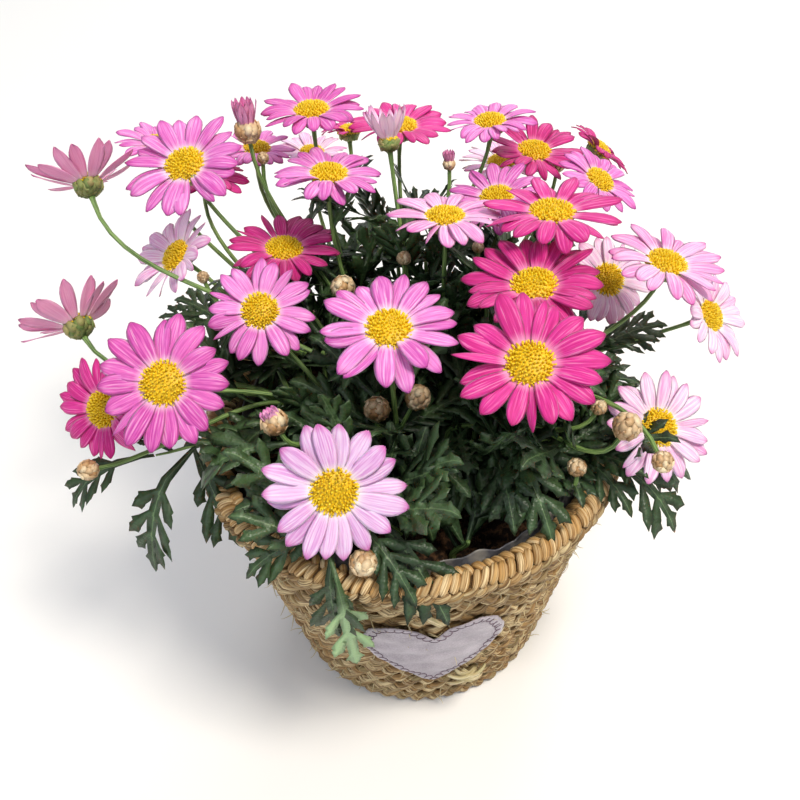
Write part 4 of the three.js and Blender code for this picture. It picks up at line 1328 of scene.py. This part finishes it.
def spiral_tree():
    tree, given = new_tree(
        "golden_spiral", Count=120, Width=8.0, Height=4.0, Low=0.0, High=1.0, Size=(0.6, 0.6, 0.6),
        Growth=1.0, Upright=0, Seed=1, Material=None,
    )
    number = add(tree, "GeometryNodeInputIndex")
    known = {socket.name: socket for socket in given}
    known["number"] = number
    draws = {
        "wobble": (-0.1, 0.1), "lean": (-0.18, 0.02), "twist": (-0.15, 0.15),
        "share of size": (0.85, 1.15), "own shade": (0.0, 1.0),
    }
    for count, (name, (low, high)) in enumerate(draws.items(), 1):
        seed = add(tree, "ShaderNodeMath", {0: given["Seed"], 1: count}, operation="ADD")
        inputs = {2: low, 3: high, "ID": number, "Seed": seed}
        known[name] = add(tree, "FunctionNodeRandomValue", inputs, data_type="FLOAT")
    # Each line is a name, an operation and its values: level is the height on a ball of radius 1, ring
    # how wide the ball is there, and x and y the place on that ring.
    for name, operation, *values in (
        ("counted", "ADD", "number", 0.5),
        ("share", "DIVIDE", "counted", "Count"),
        ("levels", "SUBTRACT", "High", "Low"),
        ("level", "MULTIPLY_ADD", "share", "levels", "Low"),
        ("square", "MULTIPLY", "level", "level"),
        ("left over", "SUBTRACT", 1.0, "square"),
        ("ring", "POWER", "left over", 0.5),
        ("angle", "MULTIPLY_ADD", "number", GOLDEN_ANGLE, "wobble"),
        ("cosine", "COSINE", "angle"),
        ("sine", "SINE", "angle"),
        ("x", "MULTIPLY", "ring", "cosine"),
        ("y", "MULTIPLY", "ring", "sine"),
    ):
        inputs = {i: known[v] if isinstance(v, str) else v for i, v in enumerate(values)}
        known[name] = add(tree, "ShaderNodeMath", inputs, operation=operation)
    share, level = known["share"], known["level"]
    on_ball = add(tree, "ShaderNodeCombineXYZ", {"X": known["x"], "Y": known["y"], "Z": level})
    wide, tall = given["Width"], given["Height"]
    # The ball pressed to an oval, and the way its surface faces there.
    place, normal = (
        add(
            tree, "ShaderNodeVectorMath",
            {0: on_ball, 1: add(tree, "ShaderNodeCombineXYZ", {"X": a, "Y": a, "Z": b})},
            operation="MULTIPLY",
        )
        for a, b in ((wide, tall), (tall, wide))
    )
    spots = add(tree, "GeometryNodePoints", {"Count": given["Count"], "Position": place})
    turn = add(
        tree, "FunctionNodeAxesToRotation", {"Primary Axis": normal, "Secondary Axis": (0.0, 0.0, 1.0)},
        primary_axis="Z", secondary_axis="Y",
    )
    lean = add(tree, "ShaderNodeCombineXYZ", {"X": known["lean"], "Z": known["twist"]})
    inputs = {"Rotation": turn, "Rotate By": add(tree, "FunctionNodeEulerToRotation", {0: lean})}
    leaning = add(tree, "FunctionNodeRotateRotation", inputs, rotation_space="LOCAL")
    bract_shape = add(tree, "GeometryNodeMeshIcoSphere", {"Radius": 1.0, "Subdivisions": 1})
    inputs = {"Vertices": 5, "Radius Top": 0.62, "Radius Bottom": 1.0, "Depth": 2.4, "Side Segments": 1}
    floret = add(tree, "GeometryNodeMeshCone", inputs)
    inputs = {"Switch": given["Upright"], "False": bract_shape, "True": floret}
    organ = add(tree, "GeometryNodeSwitch", inputs, input_type="GEOMETRY")
    growing = add(tree, "ShaderNodeMapRange", {"Value": share, "To Min": 1.0, "To Max": given["Growth"]})
    inputs = {0: growing, 1: known["share of size"]}
    amount = add(tree, "ShaderNodeMath", inputs, operation="MULTIPLY")
    size = add(tree, "ShaderNodeVectorMath", {0: given["Size"], "Scale": amount}, operation="SCALE")
    inputs = {0: spots, "Instance": organ, "Rotation": leaning, "Scale": size}
    placed = add(tree, "GeometryNodeInstanceOnPoints", inputs)
    mark = add(tree, "ShaderNodeCombineXYZ", {"X": share, "Y": known["own shade"], "Z": level})
    marked = add(
        tree, "GeometryNodeStoreNamedAttribute", {0: placed, "Name": "mark", "Value": mark},
        data_type="FLOAT_VECTOR", domain="INSTANCE",
    )
    return end_tree(tree, marked, given["Material"])


spiral = spiral_tree()
print("golden-angle tree:", len(spiral.nodes), "nodes")

# %% Disc, bract and bud finishes


def speckled(name, low, middle, high, roughness, scale, contrast=0.12, depth=0.0004, **sockets):
    """Small organs packed side by side: each has its own shade, and a fine grain of its own."""
    made, tree, shader = new_material(name, Roughness=roughness, **sockets)
    mark = add(tree, "ShaderNodeAttribute", attribute_name="mark").outputs["Vector"]
    share, own, _ = add(tree, "ShaderNodeSeparateXYZ", {0: mark}).outputs
    where = add(tree, "ShaderNodeTexCoord").outputs["Object"]
    grain = add(tree, "ShaderNodeTexNoise", {"Vector": where, "Scale": scale, "Detail": 3.0})
    inputs = {"Value": grain, "From Min": 0.5 - contrast, "From Max": 0.5 + contrast}
    spread = add(tree, "ShaderNodeMapRange", inputs)
    outer = add(tree, "ShaderNodeMapRange", {"Value": share, "From Min": 0.15, "From Max": 0.85})
    # Two ramps by each organ's own shade; the grain chooses between them, and outer organs are lighter.
    first, second = (
        add(tree, "ShaderNodeMix", {0: own, 6: linear(a), 7: linear(b)}, data_type="RGBA")
        for a, b in ((low, middle), (middle, high))
    )
    blend = add(tree, "ShaderNodeMix", {0: spread, 6: first, 7: second}, data_type="RGBA")
    lighter = add(tree, "ShaderNodeMix", {0: outer, 6: blend, 7: second}, data_type="RGBA")
    bump = add(tree, "ShaderNodeBump", {"Strength": 0.5, "Distance": depth, "Height": grain})
    feed(shader, {"Base Color": lighter, "Normal": bump})
    return made


# Disc florets: waxy, strong yellow; the centre ones are still closed and more orange.
disc_florets = speckled("disc_florets", "#c9ac00", "#f3c600", "#ffe93c", 0.5, 900.0)
# Green bracts with thin brown, papery margins.
bract = speckled("green_bracts", "#3f5a2c", "#6f8a45", "#a89a62", 0.6, 500.0)
# Closed buds: dry, papery tan bracts with a soft gloss; their cream is painted highlight, on some bracts
# and more towards the tip.
papery = speckled("papery_bud_bracts", "#6f4824", "#bd905c", "#f3e0ba", 0.42, 300.0)
print("finishes:", disc_florets.name, bract.name, papery.name)

# %% Discs and calyces


def frame_matrix(place, facing):
    """Sets a shape that was grown upright on a bloom's place, facing its way."""
    axes = head_frame(facing)
    turned_to = Matrix(axes.T.tolist()).to_4x4()
    return Matrix.Translation(place.tolist()) @ turned_to


for spray in BLOOMS:
    discs, cups = [], []
    for name, head in heads.items():
        if head["spray"] != spray:
            continue
        span = head["span"]
        small = 0.8 if head["look"] == "dusty" else 1.0  # the heads seen from behind hide their discs
        matrix = frame_matrix(head["place"], head["facing"])
        disc_radius = DISC_SHARE * span * small**2 * math.cos(math.radians(head["cup"]))
        seed = sum(map(ord, name)) % 97
        disc = grow(
            f"disc_{name}", spiral, Count=230, Width=disc_radius, Height=3.4, Low=1.0, High=0.0,
            Size=(0.52, 0.52, 0.65), Growth=0.95, Upright=True, Seed=seed, Material=disc_florets,
        )
        discs.append(in_metres(disc, matrix))
        cup = grow(
            f"cup_{name}", spiral, Count=34, Width=DISC_SHARE * span * small,
            Height=head["neck_depth"] - 1.6, Low=-0.95, High=-0.08, Size=(1.9, 2.7, 0.45), Growth=1.15,
            Seed=seed, Material=bract,
        )
        cups.append(in_metres(cup, matrix))
        depth = head["neck_depth"] - 1.4
        bowl = [[0.0, -depth - 0.4]]
        cup_radius = 0.15 * span * small
        bowl += [[cup_radius * math.sin(a), -depth * math.cos(a)] for a in np.linspace(0.2, 1.5, 7)]
        dome_radius = disc_radius * 0.97
        dome = [[dome_radius * math.sin(a), 3.3 * math.cos(a) + 0.3] for a in np.linspace(1.5, 0.2, 6)]
        crown = [[0.0, 0.4]] + dome + [[0.0, 3.6]]
        for profile, made in ((bowl + [[0.0, -0.2]], cups), (crown, discs)):
            shape = turned(profile, 20)
            mesh = bpy.data.meshes.new("core")
            mesh.from_pydata(shape[0].tolist(), [], shape[1])
            mesh.attributes.new("mark", "FLOAT_VECTOR", "POINT")
            mesh.materials.append(bract if made is cups else disc_florets)
            core = bpy.data.objects.new("core", mesh)
            bpy.context.collection.objects.link(core)
            made.append(in_metres(core, matrix))
    finished(gathered(f"discs_{spray}", discs), None)
    finished(gathered(f"calyces_{spray}", cups), "stalk")

# %% Buds
rng = np.random.default_rng(31)
made, opening, tips = [], [], []
for n, bud in enumerate(buds):
    half = bud["span"] / 2
    tall = half * bud["long"]
    matrix = frame_matrix(bud["place"], bud["facing"])
    closed = bud["long"] == 1.0
    showing = bud["long"] > 1.3  # open so far that its rays stand out of the bracts
    scales = grow(
        f"bud_{n}", spiral, Count=34 if closed else 26, Width=half * 0.92, Height=half * 0.92, Low=-0.97,
        High=0.97 if closed else 0.35, Size=(half * 0.42, half * 0.56, half * 0.09), Growth=0.9, Seed=n,
        Material=papery,
    )
    core = grow(
        f"core_{n}", spiral, Count=1, Width=0.01, Height=0.01, Low=0.0, High=0.0,
        Size=(half * 0.9, half * 0.9, half * 0.9), Seed=n, Material=papery,
    )
    down = Matrix.Translation((0, 0, 0 if closed else half - tall))
    made += [in_metres(scales, matrix @ down), in_metres(core, matrix @ down)]
    if not closed:
        for k in range(11):
            points, faces, marks = ray(
                start=half * 0.35, reach=half * 0.35 + (1.35 if showing else 0.95) * tall,
                width=half * 0.75, rise=math.radians(rng.uniform(74, 86)),
                arch=-half * rng.uniform(0.1, 0.3), bend=0.2, twist=0.1, lift=half - tall, curl=0.0,
            )
            points = about_z(points, TURN * k / 11) @ head_frame(bud["facing"]) + bud["place"]
            (opening if showing else tips).append((points, faces, marks, rng.uniform(0.2, 0.8)))
finished(gathered("buds", made), "stalk")
piece("opening_rays", opening, LOOKS["dusty"][1], "petal_pink")
piece("first_ray_tips", tips, LOOKS["blush"][1], "petal_pale")

# %% [markdown]
# Stalks
#
# A marguerite branches low and sends up long bare stalks. Each spray parts at the top of a short trunk,
# and every stalk leaves upwards and arrives along the way its bloom faces. The CAD model has the same
# curves as five-sided rods; here they are round, finely ribbed, and thicken into the neck of the bloom.

# %% Stalk curves
# Young stalk: fresh green with lengthwise ribs, and a waxy gloss.
stalk_green, tree, shader = new_material("green_stalk", Roughness=0.5, Specular_IOR_Level=0.4)
mark = add(tree, "ShaderNodeAttribute", attribute_name="mark").outputs["Vector"]
stretched = add(tree, "ShaderNodeVectorMath", {0: mark, 1: (1.6, 1.6, 0.05)}, operation="MULTIPLY")
ribs = add(tree, "ShaderNodeTexNoise", {"Vector": stretched, "Scale": 2.0, "Detail": 2.0})
ribbed = add(tree, "ShaderNodeMapRange", {"Value": ribs, "From Min": 0.38, "From Max": 0.62})
green = add(
    tree, "ShaderNodeMix", {0: ribbed, 6: linear("#3f5f2c"), 7: linear("#8fae62")}, data_type="RGBA"
)
bump = add(tree, "ShaderNodeBump", {"Strength": 0.6, "Distance": 0.0004, "Height": ribs})
feed(shader, {"Base Color": green, "Normal": bump})


def stalk_curve(start, end, facing, sway=0.0, count=16):
    """A stalk that leaves upwards and arrives along the way its bloom faces; sway bows it sideways."""
    reach = np.linalg.norm(end - start)
    side = unit([start[1] - end[1], end[0] - start[0], 0.0]) * sway
    first = start + [0, 0, 0.42 * reach] + side
    return bezier(start, first, end - 0.35 * reach * facing + side, end, np.linspace(0, 1, count))


def trunk_under(target, share):
    """Foot and fork of a short trunk, at this share of the way from the middle to below the target."""
    root = np.array([share * target[0], share * target[1], SOIL_TOP + GAP])
    return root, root * [1, 1, 0] + [0, 0, SOIL_TOP + TRUNK_HEIGHT]


curves = []  # every stalk that leaves can grow from: its points and the spray or shoot it belongs to
for spray in BLOOMS:
    ends = [(h["place"] - (h["neck_depth"] + GAP) * h["facing"], h["facing"], h["sway"], 1.5)
            for h in heads.values() if h["spray"] == spray]
    ends += [(b["place"] - 0.5 * b["span"] * b["long"] * b["facing"], b["facing"], b["sway"], 1.0)
             for b in buds if b["spray"] == spray]
    root, fork = trunk_under(np.mean([e[0] for e in ends], axis=0), 0.42)
    trunk = [root - [0, 0, 4], root, (root + fork) / 2, fork + [0, 0, 1.5]]
    parts = [tube(trunk, [2.6, 2.1, 1.9, 1.5], 8)]
    for end, facing, sway, neck in ends:
        line = stalk_curve(fork, end, facing, sway)
        line = np.concatenate([line, [end + 1.2 * facing]])
        radii = np.interp(np.arange(17), [0, 3, 14, 16], [1.4, 1.15, 0.95, neck])
        parts.append(tube(line, radii, 7))
        curves.append((line, spray))
    piece(f"stems_{spray}", parts, stalk_green, "stalk", f"stalks_{spray}")

# %% [markdown]
# Leaves
#
# A marguerite leaf is cut deeply into blunt lobes, each with a tooth or two near its end, on a long
# winged stalk. It is dark green, a little blue, with a paler midrib. One function draws it flat, as a
# ladder of short strips with a lobe on either side of each wide rung, and lays that plan along a bent
# midrib. Upper and lower skin share the outline, so each leaf is a closed shell that is sharp at its
# edge and thickest at its veins, in about two hundred faces. There are hundreds of leaves, each with its
# own path, so they are worked out one by one and joined, instead of being copies of one leaf.

# %% One leaf


def leaf_line(start, end, level_share=0.45, swing=1.0, hang=0.75):
    """The midrib: it rises from the shoot, swings clear of the rim and hangs to its tip."""
    length = np.linalg.norm(end - start)
    drop = max(0.0, start[2] - end[2])
    rise = np.array([0.0, 0.0, 1.0])
    outward = unit(end * [1, 1, 0])
    level = (end - start) * [1, 1, 0]
    first = start + level_share * level + 0.18 * length * rise + 0.3 * swing * drop * outward
    second = end - 0.15 * level + (0.12 * length + hang * drop) * rise + 0.2 * swing * drop * outward
    side = unit(np.cross(end - start, rise + 0.5 * outward))
    return bezier(start, first, second, end, np.linspace(0, 1, 30)), side


LONGEST_BLADE = 48.0  # the cut part of a leaf; a longer leaf only has a longer stalk
# Along a lobe: how far, and half its width towards the stalk and towards the tip, as shares. The
# second and fourth rows stand out further: they are its two teeth.
LOBE_ROWS = ((0.25, 0.9, 0.85), (0.5, 1.4, 1.0), (0.56, 0.9, 1.05), (0.73, 0.85, 1.35), (0.8, 0.6, 0.7))


def leaf(line, side, rng, width, pairs, tone, longest=LONGEST_BLADE, stout=1.0):
    """One leaf along its midrib, spread to the given side; width and stout are shares of its length."""
    steps = np.concatenate([[0], np.cumsum(np.linalg.norm(np.diff(line, axis=0), axis=1))])
    length = steps[-1]
    spots, faces = [], []

    def spot(along, aside, proud, edge):
        spots.append((along, aside, proud, edge))
        return len(spots) - 1

    def rung(share, half, split=False):
        """Left, middle and right of the blade, each for the upper and the lower skin."""
        along = share * length
        middle = (spot(along, 0, -0.2, 0), spot(along, 0, -0.65, 0))
        sides = []
        for sign in (-1, 1):
            if split:
                sides.append((spot(along, sign * half, -0.02, 0.3), spot(along, sign * half, -0.35, 0.3)))
            else:
                sides.append((spot(along, sign * half, 0.1, 1),) * 2)
        return sides[0], middle, sides[1]

    def strip(a, b):
        for left, inner_a, inner_b, flip in ((0, a[1], b[1], 1), (2, a[1], b[1], -1)):
            for skin in (0, 1):
                face = [a[left][skin], inner_a[skin], inner_b[skin], b[left][skin]]
                faces.append(face[:: flip * (1 if skin == 0 else -1)])

    def lobe(sign, rungs, reach, angle, thick):
        back, middle, front = (rungs[i][0 if sign < 0 else 2] for i in range(3))
        base = np.array(spots[middle[0]][:2])
        axis = np.array([math.cos(angle), sign * math.sin(angle)])
        across = np.array([math.sin(angle), -sign * math.cos(angle)])
        lift = rng.uniform(-0.14, 0.2)
        row = (back[0], middle, front[0])
        for share, outer_half, inner_half in LOBE_ROWS:
            centre = base + axis * reach * share
            proud = lift * reach * share
            ends = [
                spot(*(centre + s * across * half * thick * rng.uniform(0.88, 1.12)), proud + 0.1, 1)
                for s, half in ((-1, outer_half), (1, inner_half))
            ]
            inner = (spot(*centre, proud - 0.1, 0.15), spot(*centre, proud - 0.45, 0.15))
            for skin in (0, 1):
                faces.append([row[0], row[1][skin], inner[skin], ends[0]])
                faces.append([row[1][skin], row[2], ends[1], inner[skin]])
            row = (ends[0], inner, ends[1])
        tip = spot(*(base + axis * reach), lift * reach, 1)
        for skin in (0, 1):
            faces.append([row[0], row[1][skin], tip])
            faces.append([row[1][skin], row[2], tip])

    blade = min(length, longest)
    share_of_blade = blade / length
    first = 1 - share_of_blade * rng.uniform(0.58, 0.68)
    last = 1 - share_of_blade * 0.16
    wing = stout * blade * rng.uniform(0.046, 0.058)
    ladder = [rung(0.0, 0.8), rung(0.3 * first, 1.0), rung(0.8 * first, 0.75 * wing + 0.4)]
    lobes = []
    for n in range(pairs):
        share = first + (last - first) * n / pairs
        gap = (last - first) / pairs
        half = wing * (0.75 + 0.35 * math.sin(math.pi * (n + 0.8) / (pairs + 0.4)))
        three = [rung(share - 0.2 * gap, 0.94 * half), rung(share, half, split=True),
                 rung(share + 0.24 * gap, 0.96 * half)]
        ladder += three
        size = (0.55 + 0.62 * math.sin(math.pi * (n + 0.6) / (pairs + 0.2))) * width * blade
        lobes += [(sign, three, size * rng.uniform(0.8, 1.12), math.radians(rng.uniform(27, 41)),
                   0.051 * stout * blade * rng.uniform(0.85, 1.2)) for sign in (-1, 1)]
    broad = 0.078 * stout * blade
    ladder += [rung(1 - back * share_of_blade, half) for back, half in (
        (0.17, 0.85 * wing), (0.125, broad), (0.1, 0.6 * broad), (0.045, 0.4 * broad))]
    for a, b in zip(ladder, ladder[1:]):
        strip(a, b)
    for made_lobe in lobes:
        lobe(*made_lobe)
    tip = spot(length, 0, 0, 1)
    end_rung = ladder[-1]
    for skin in (0, 1):
        faces.append([end_rung[0][skin], end_rung[1][skin], tip])
        faces.append([end_rung[1][skin], end_rung[2][skin], tip])

    along, aside, proud, edge = np.array(spots, float).T
    tangents = unit(np.gradient(line, axis=0))
    normals = unit(np.cross(tangents, side))
    normals = normals * np.sign(normals[:, 2].sum() or 1)
    here = [np.interp(along, steps, line[:, k]) for k in range(3)]
    normal = [np.interp(along, steps, normals[:, k]) for k in range(3)]
    cupping = 0.014 * aside**2 * rng.uniform(-1.0, 1.4)
    wave = 0.7 * np.sin(along / length * 9 + rng.uniform(0, 6)) * np.minimum(1, np.abs(aside) / 4)
    height = (proud + cupping + wave)[:, None]
    bent = np.stack(here, 1) + np.outer(aside, side) + np.stack(normal, 1) * height
    marks = np.stack([along / length, edge, aside / length], axis=1)
    return bent, faces, marks, tone


sample_line = leaf_line(np.array([0.0, 0.0, 60.0]), np.array([60.0, 0.0, 50.0]))
sample = leaf(*sample_line, np.random.default_rng(1), 0.28, 3, 0.5)
print("a leaf with three pairs of lobes:", len(sample[0]), "points and", len(sample[1]), "faces")

# %% [markdown]
# Where leaves may grow
#
# The bush is filled by letting leaves grow from every stalk and shoot, in all directions, and keeping
# the ones that suit. A leaf is refused if it would hide a bloom or a bud from the eye, cross the rays of
# a bloom, go through the basket or leave the model's box. The test looks at points along the leaf and
# along its lobes: a point is in front of a bloom if the line of sight through it meets the bloom's own
# disc further on. So the blooms stay open to view, as on the real plant, which turns them to the light.

# %% The test for a leaf
bloom_places = np.array([h["place"] for h in heads.values()])
bloom_facings = np.array([h["facing"] for h in heads.values()])
bloom_halves = np.array([h["span"] / 2 for h in heads.values()])
bloom_heights = np.sin(np.radians([h["cup"] for h in heads.values()])) * bloom_halves
bud_places = np.array([b["place"] for b in buds])
bud_halves = np.array([b["span"] / 2 + 1.0 for b in buds])
box_low, box_high = (np.array(list(c)) / MM for c in cad_box)


IN_FRONT = 0.97  # the share of a bloom's disc that leaves keep free to the eye
WITHIN_RIM = 74.0  # leaves lower than OVER_RIM keep inside this radius, clear of the basket
OVER_RIM = 144.0


def clear(points):
    """Whether a leaf with these points suits: in the model's box, off the basket and off the blooms."""
    if (points < box_low - 4).any() or (points > box_high + 2).any():
        return False
    radius = np.hypot(points[:, 0], points[:, 1])
    if ((radius > WITHIN_RIM) & (points[:, 2] < OVER_RIM)).any() or (points[:, 2] < SOIL_TOP + 2).any():
        return False
    to_bloom = points[:, None, :] - bloom_places[None]
    depth = (to_bloom * bloom_facings[None]).sum(-1)
    off = np.linalg.norm(to_bloom - depth[..., None] * bloom_facings[None], axis=-1)
    if ((off < bloom_halves) & (depth > -2.5) & (depth < 5 + bloom_heights)).any():
        return False
    sight = points[:, None, :] - EYE
    reach = ((bloom_places - EYE) * bloom_facings).sum(-1) / (sight * bloom_facings[None]).sum(-1)
    met = EYE + sight * reach[..., None]
    off_middle = np.linalg.norm(met - bloom_places[None], axis=-1)
    if ((reach > 1.0) & (off_middle < IN_FRONT * bloom_halves)).any():
        return False
    way = unit(points - EYE)
    nearest = ((bud_places[None] - EYE) * way[:, None, :]).sum(-1)
    miss = np.linalg.norm(EYE + way[:, None, :] * nearest[..., None] - bud_places[None], axis=-1)
    ahead = np.linalg.norm(points - EYE, axis=1)[:, None] < nearest
    return not ((miss < bud_halves) & ahead).any()


WIDEST_LEAF = 104.0  # how far from the basket's axis a leaf that is not read may reach


def grown_leaf(start, tangent, rng, low, high, tries=16):
    """A leaf from this place on a stalk, in the first direction tried that is clear of everything."""
    e1 = unit(np.cross(tangent, [0.2, 0.1, 1.0]))
    e2 = np.cross(tangent, e1)
    for _ in range(tries):
        angle = rng.uniform(0, TURN)
        length = rng.uniform(low, high)
        way = math.cos(angle) * e1 + math.sin(angle) * e2 + rng.uniform(0.15, 1.0) * tangent
        end = start + unit(way) * length + [0, 0, -0.1 * length * rng.uniform(0, 1.5)]
        if np.hypot(end[0], end[1]) > WIDEST_LEAF:
            continue
        line, side = leaf_line(start, end)
        width = rng.uniform(0.25, 0.32)
        wide = side * width * min(length, LONGEST_BLADE) * 0.8
        probe = np.concatenate([line[8::3], line[12:27:3] + wide, line[12:27:3] - wide])
        if clear(probe):
            return leaf(line, side, rng, width, int(rng.integers(2, 4)), rng.uniform(0.0, 1.0))
    return None


print("leaves keep off", len(bloom_places), "blooms and", len(bud_places), "buds")

# %% Leaf finish
# Living leaf: waxy and dark, so it mirrors the sky as a blue-grey sheen; fine relief between its veins.
leaf_green, tree, shader = new_material(
    "waxy_green_leaf", Roughness=0.42, Specular_IOR_Level=0.5, Subsurface_Weight=0.04,
    Subsurface_Scale=0.0015,
)
mark = add(tree, "ShaderNodeAttribute", attribute_name="mark").outputs["Vector"]
tone = add(tree, "ShaderNodeAttribute", attribute_name="tone").outputs["Fac"]
along, edge, _ = add(tree, "ShaderNodeSeparateXYZ", {0: mark}).outputs
where = add(tree, "ShaderNodeTexCoord").outputs["Object"]
mottle = add(tree, "ShaderNodeTexNoise", {"Vector": where, "Scale": 260.0, "Detail": 3.0})
cells = add(tree, "ShaderNodeTexVoronoi", {"Vector": where, "Scale": 900.0}, feature="F1")
young = add(tree, "ShaderNodeMapRange", {"Value": tone, "From Min": 0.0, "From Max": 1.0})
inputs = {0: young, 6: linear("#1e301b"), 7: linear("#3e572f")}
plain = add(tree, "ShaderNodeMix", inputs, data_type="RGBA")
patchy = add(tree, "ShaderNodeMapRange", {"Value": mottle, "From Min": 0.4, "From Max": 0.68})
faded = add(tree, "ShaderNodeMath", {0: patchy, 1: 0.45}, operation="MULTIPLY")
mottled = add(tree, "ShaderNodeMix", {0: faded, 6: plain, 7: linear("#516f4b")}, data_type="RGBA")
inputs = {"Value": edge, "From Min": 0.02, "From Max": 0.11, "To Min": 0.45, "To Max": 0.0}
vein = add(tree, "ShaderNodeMapRange", inputs)
veined = add(tree, "ShaderNodeMix", {0: vein, 6: mottled, 7: linear("#82a06c")}, data_type="RGBA")
# Painted sunlight: the leaf with tone 2 is pale on the half towards its tip, as if the sun fell on it
# there.
painted_sun_mask = add(tree, "ShaderNodeMapRange", {"Value": tone, "From Min": 1.2, "From Max": 2.0})
tip_half = add(tree, "ShaderNodeMapRange", {"Value": along, "From Min": 0.36, "From Max": 0.5})
painted_sunlight = add(tree, "ShaderNodeMath", {0: painted_sun_mask, 1: tip_half}, operation="MULTIPLY")
leafy = add(tree, "ShaderNodeMix", {0: painted_sunlight, 6: veined, 7: linear("#9cbc88")}, data_type="RGBA")
height = add(tree, "ShaderNodeMath", {0: mottle, 1: cells}, operation="ADD")
bump = add(tree, "ShaderNodeBump", {"Strength": 0.45, "Distance": 0.0005, "Height": height})
feed(shader, {"Base Color": leafy, "Normal": bump})

# %% Leafy shoots and the leaves on the stalks
# The tone of the one leaf that carries a painted patch of sunlight.
SUNLIT_LEAF_TONE = 2.0
rng = np.random.default_rng(2024)
for name, (tip, leaf_tips) in SHOOTS.items():
    top = place_of(*tip)
    root, fork = trunk_under(top, SHOOT_ROOTS.get(name, 0.5))
    line = stalk_curve(fork, top, unit(top - fork), count=101)
    stem = np.concatenate([[root - [0, 0, 4], root], line[::8]])
    piece(f"shoot_{name}", [tube(stem, np.linspace(2.3, 0.5, len(stem)), 7)], stalk_green, "stalk",
          f"leafy_shoot_{name}")
    parts = []
    for i, reading in enumerate(leaf_tips):
        start = line[round(100 * (0.97 - 0.6 * i / len(leaf_tips)))]
        end = place_of(*reading)
        # A leaf that is read from the view shows its face to the eye.
        towards_eye = unit(np.cross(end - start, EYE - start))
        # The first leaf of the front left shoot is the one with painted sunlight on its tip half.
        if name == "front_left" and i == 0:
            midrib, side = leaf_line(start, end, 0.9, 0.3, 0.6)
            parts.append(leaf(midrib, towards_eye, rng, 0.16, 2, SUNLIT_LEAF_TONE, 60.0, 0.9))
        else:
            midrib, side = leaf_line(start, end, 0.5, 0.5, 0.42)
            side = unit(side * np.sign(side @ towards_eye) + 1.2 * towards_eye)
            parts.append(leaf(midrib, side, rng, 0.25, 3, rng.uniform(0.1, 0.7), 62.0, 0.78))
    for n in range(2 if name == "right_high" else 6):
        k = int(rng.integers(8, 97))
        made_leaf = grown_leaf(line[k], unit(line[k + 2] - line[k - 2]), rng, 38, 62)
        if made_leaf is not None:
            parts.append(made_leaf)
    piece(f"leaves_{name}", parts, leaf_green, "leaf", f"leafy_shoot_{name}")

for spray in BLOOMS:
    parts = []
    for line, owner in curves:
        if owner != spray:
            continue
        for n in range(3):
            k = int(rng.integers(2, 11))
            made_leaf = grown_leaf(line[k], unit(line[k + 1] - line[k - 1]), rng, 34, 60)
            if made_leaf is not None:
                parts.append(made_leaf)
    piece(f"leaves_on_{spray}", parts, leaf_green, "leaf")

# %% [markdown]
# Young shoots from the soil
#
# Between the flowering sprays stand short leafy shoots that hide the soil. They are set in a ring
# pattern by the golden angle, so that they fill the pot evenly, and each bears leaves all round.

# %% Young shoots
stems, parts = [], []
YOUNG_SHOOTS = 30
for n in range(YOUNG_SHOOTS):
    radius = 72 * math.sqrt((n + 0.7) / YOUNG_SHOOTS)
    angle = GOLDEN_ANGLE * n
    root = np.array([radius * math.cos(angle), radius * math.sin(angle), SOIL_TOP - 3])
    high = rng.uniform(16, 42) + (27 if root[1] > 5 else 0)
    top = root * [1.12, 1.12, 1] + [rng.uniform(-6, 6), rng.uniform(-6, 6) + 0.25 * high, high]
    line = bezier(root, root + [0, 0, 0.4 * high], top - [0, 0, 0.3 * high], top, np.linspace(0, 1, 24))
    if not clear(line[8:]):
        continue
    stems.append(tube(line, np.linspace(1.8, 0.9, 24), 6))
    for m in range(6):
        k = int(rng.integers(6, 22))
        made_leaf = grown_leaf(line[k], unit(line[k + 1] - line[k - 1]), rng, 34, 58)
        if made_leaf is not None:
            parts.append(made_leaf)
piece("young_shoots", stems, stalk_green, "stalk")
piece("young_leaves", parts, leaf_green, "leaf")
print("leaves on young shoots:", len(parts))
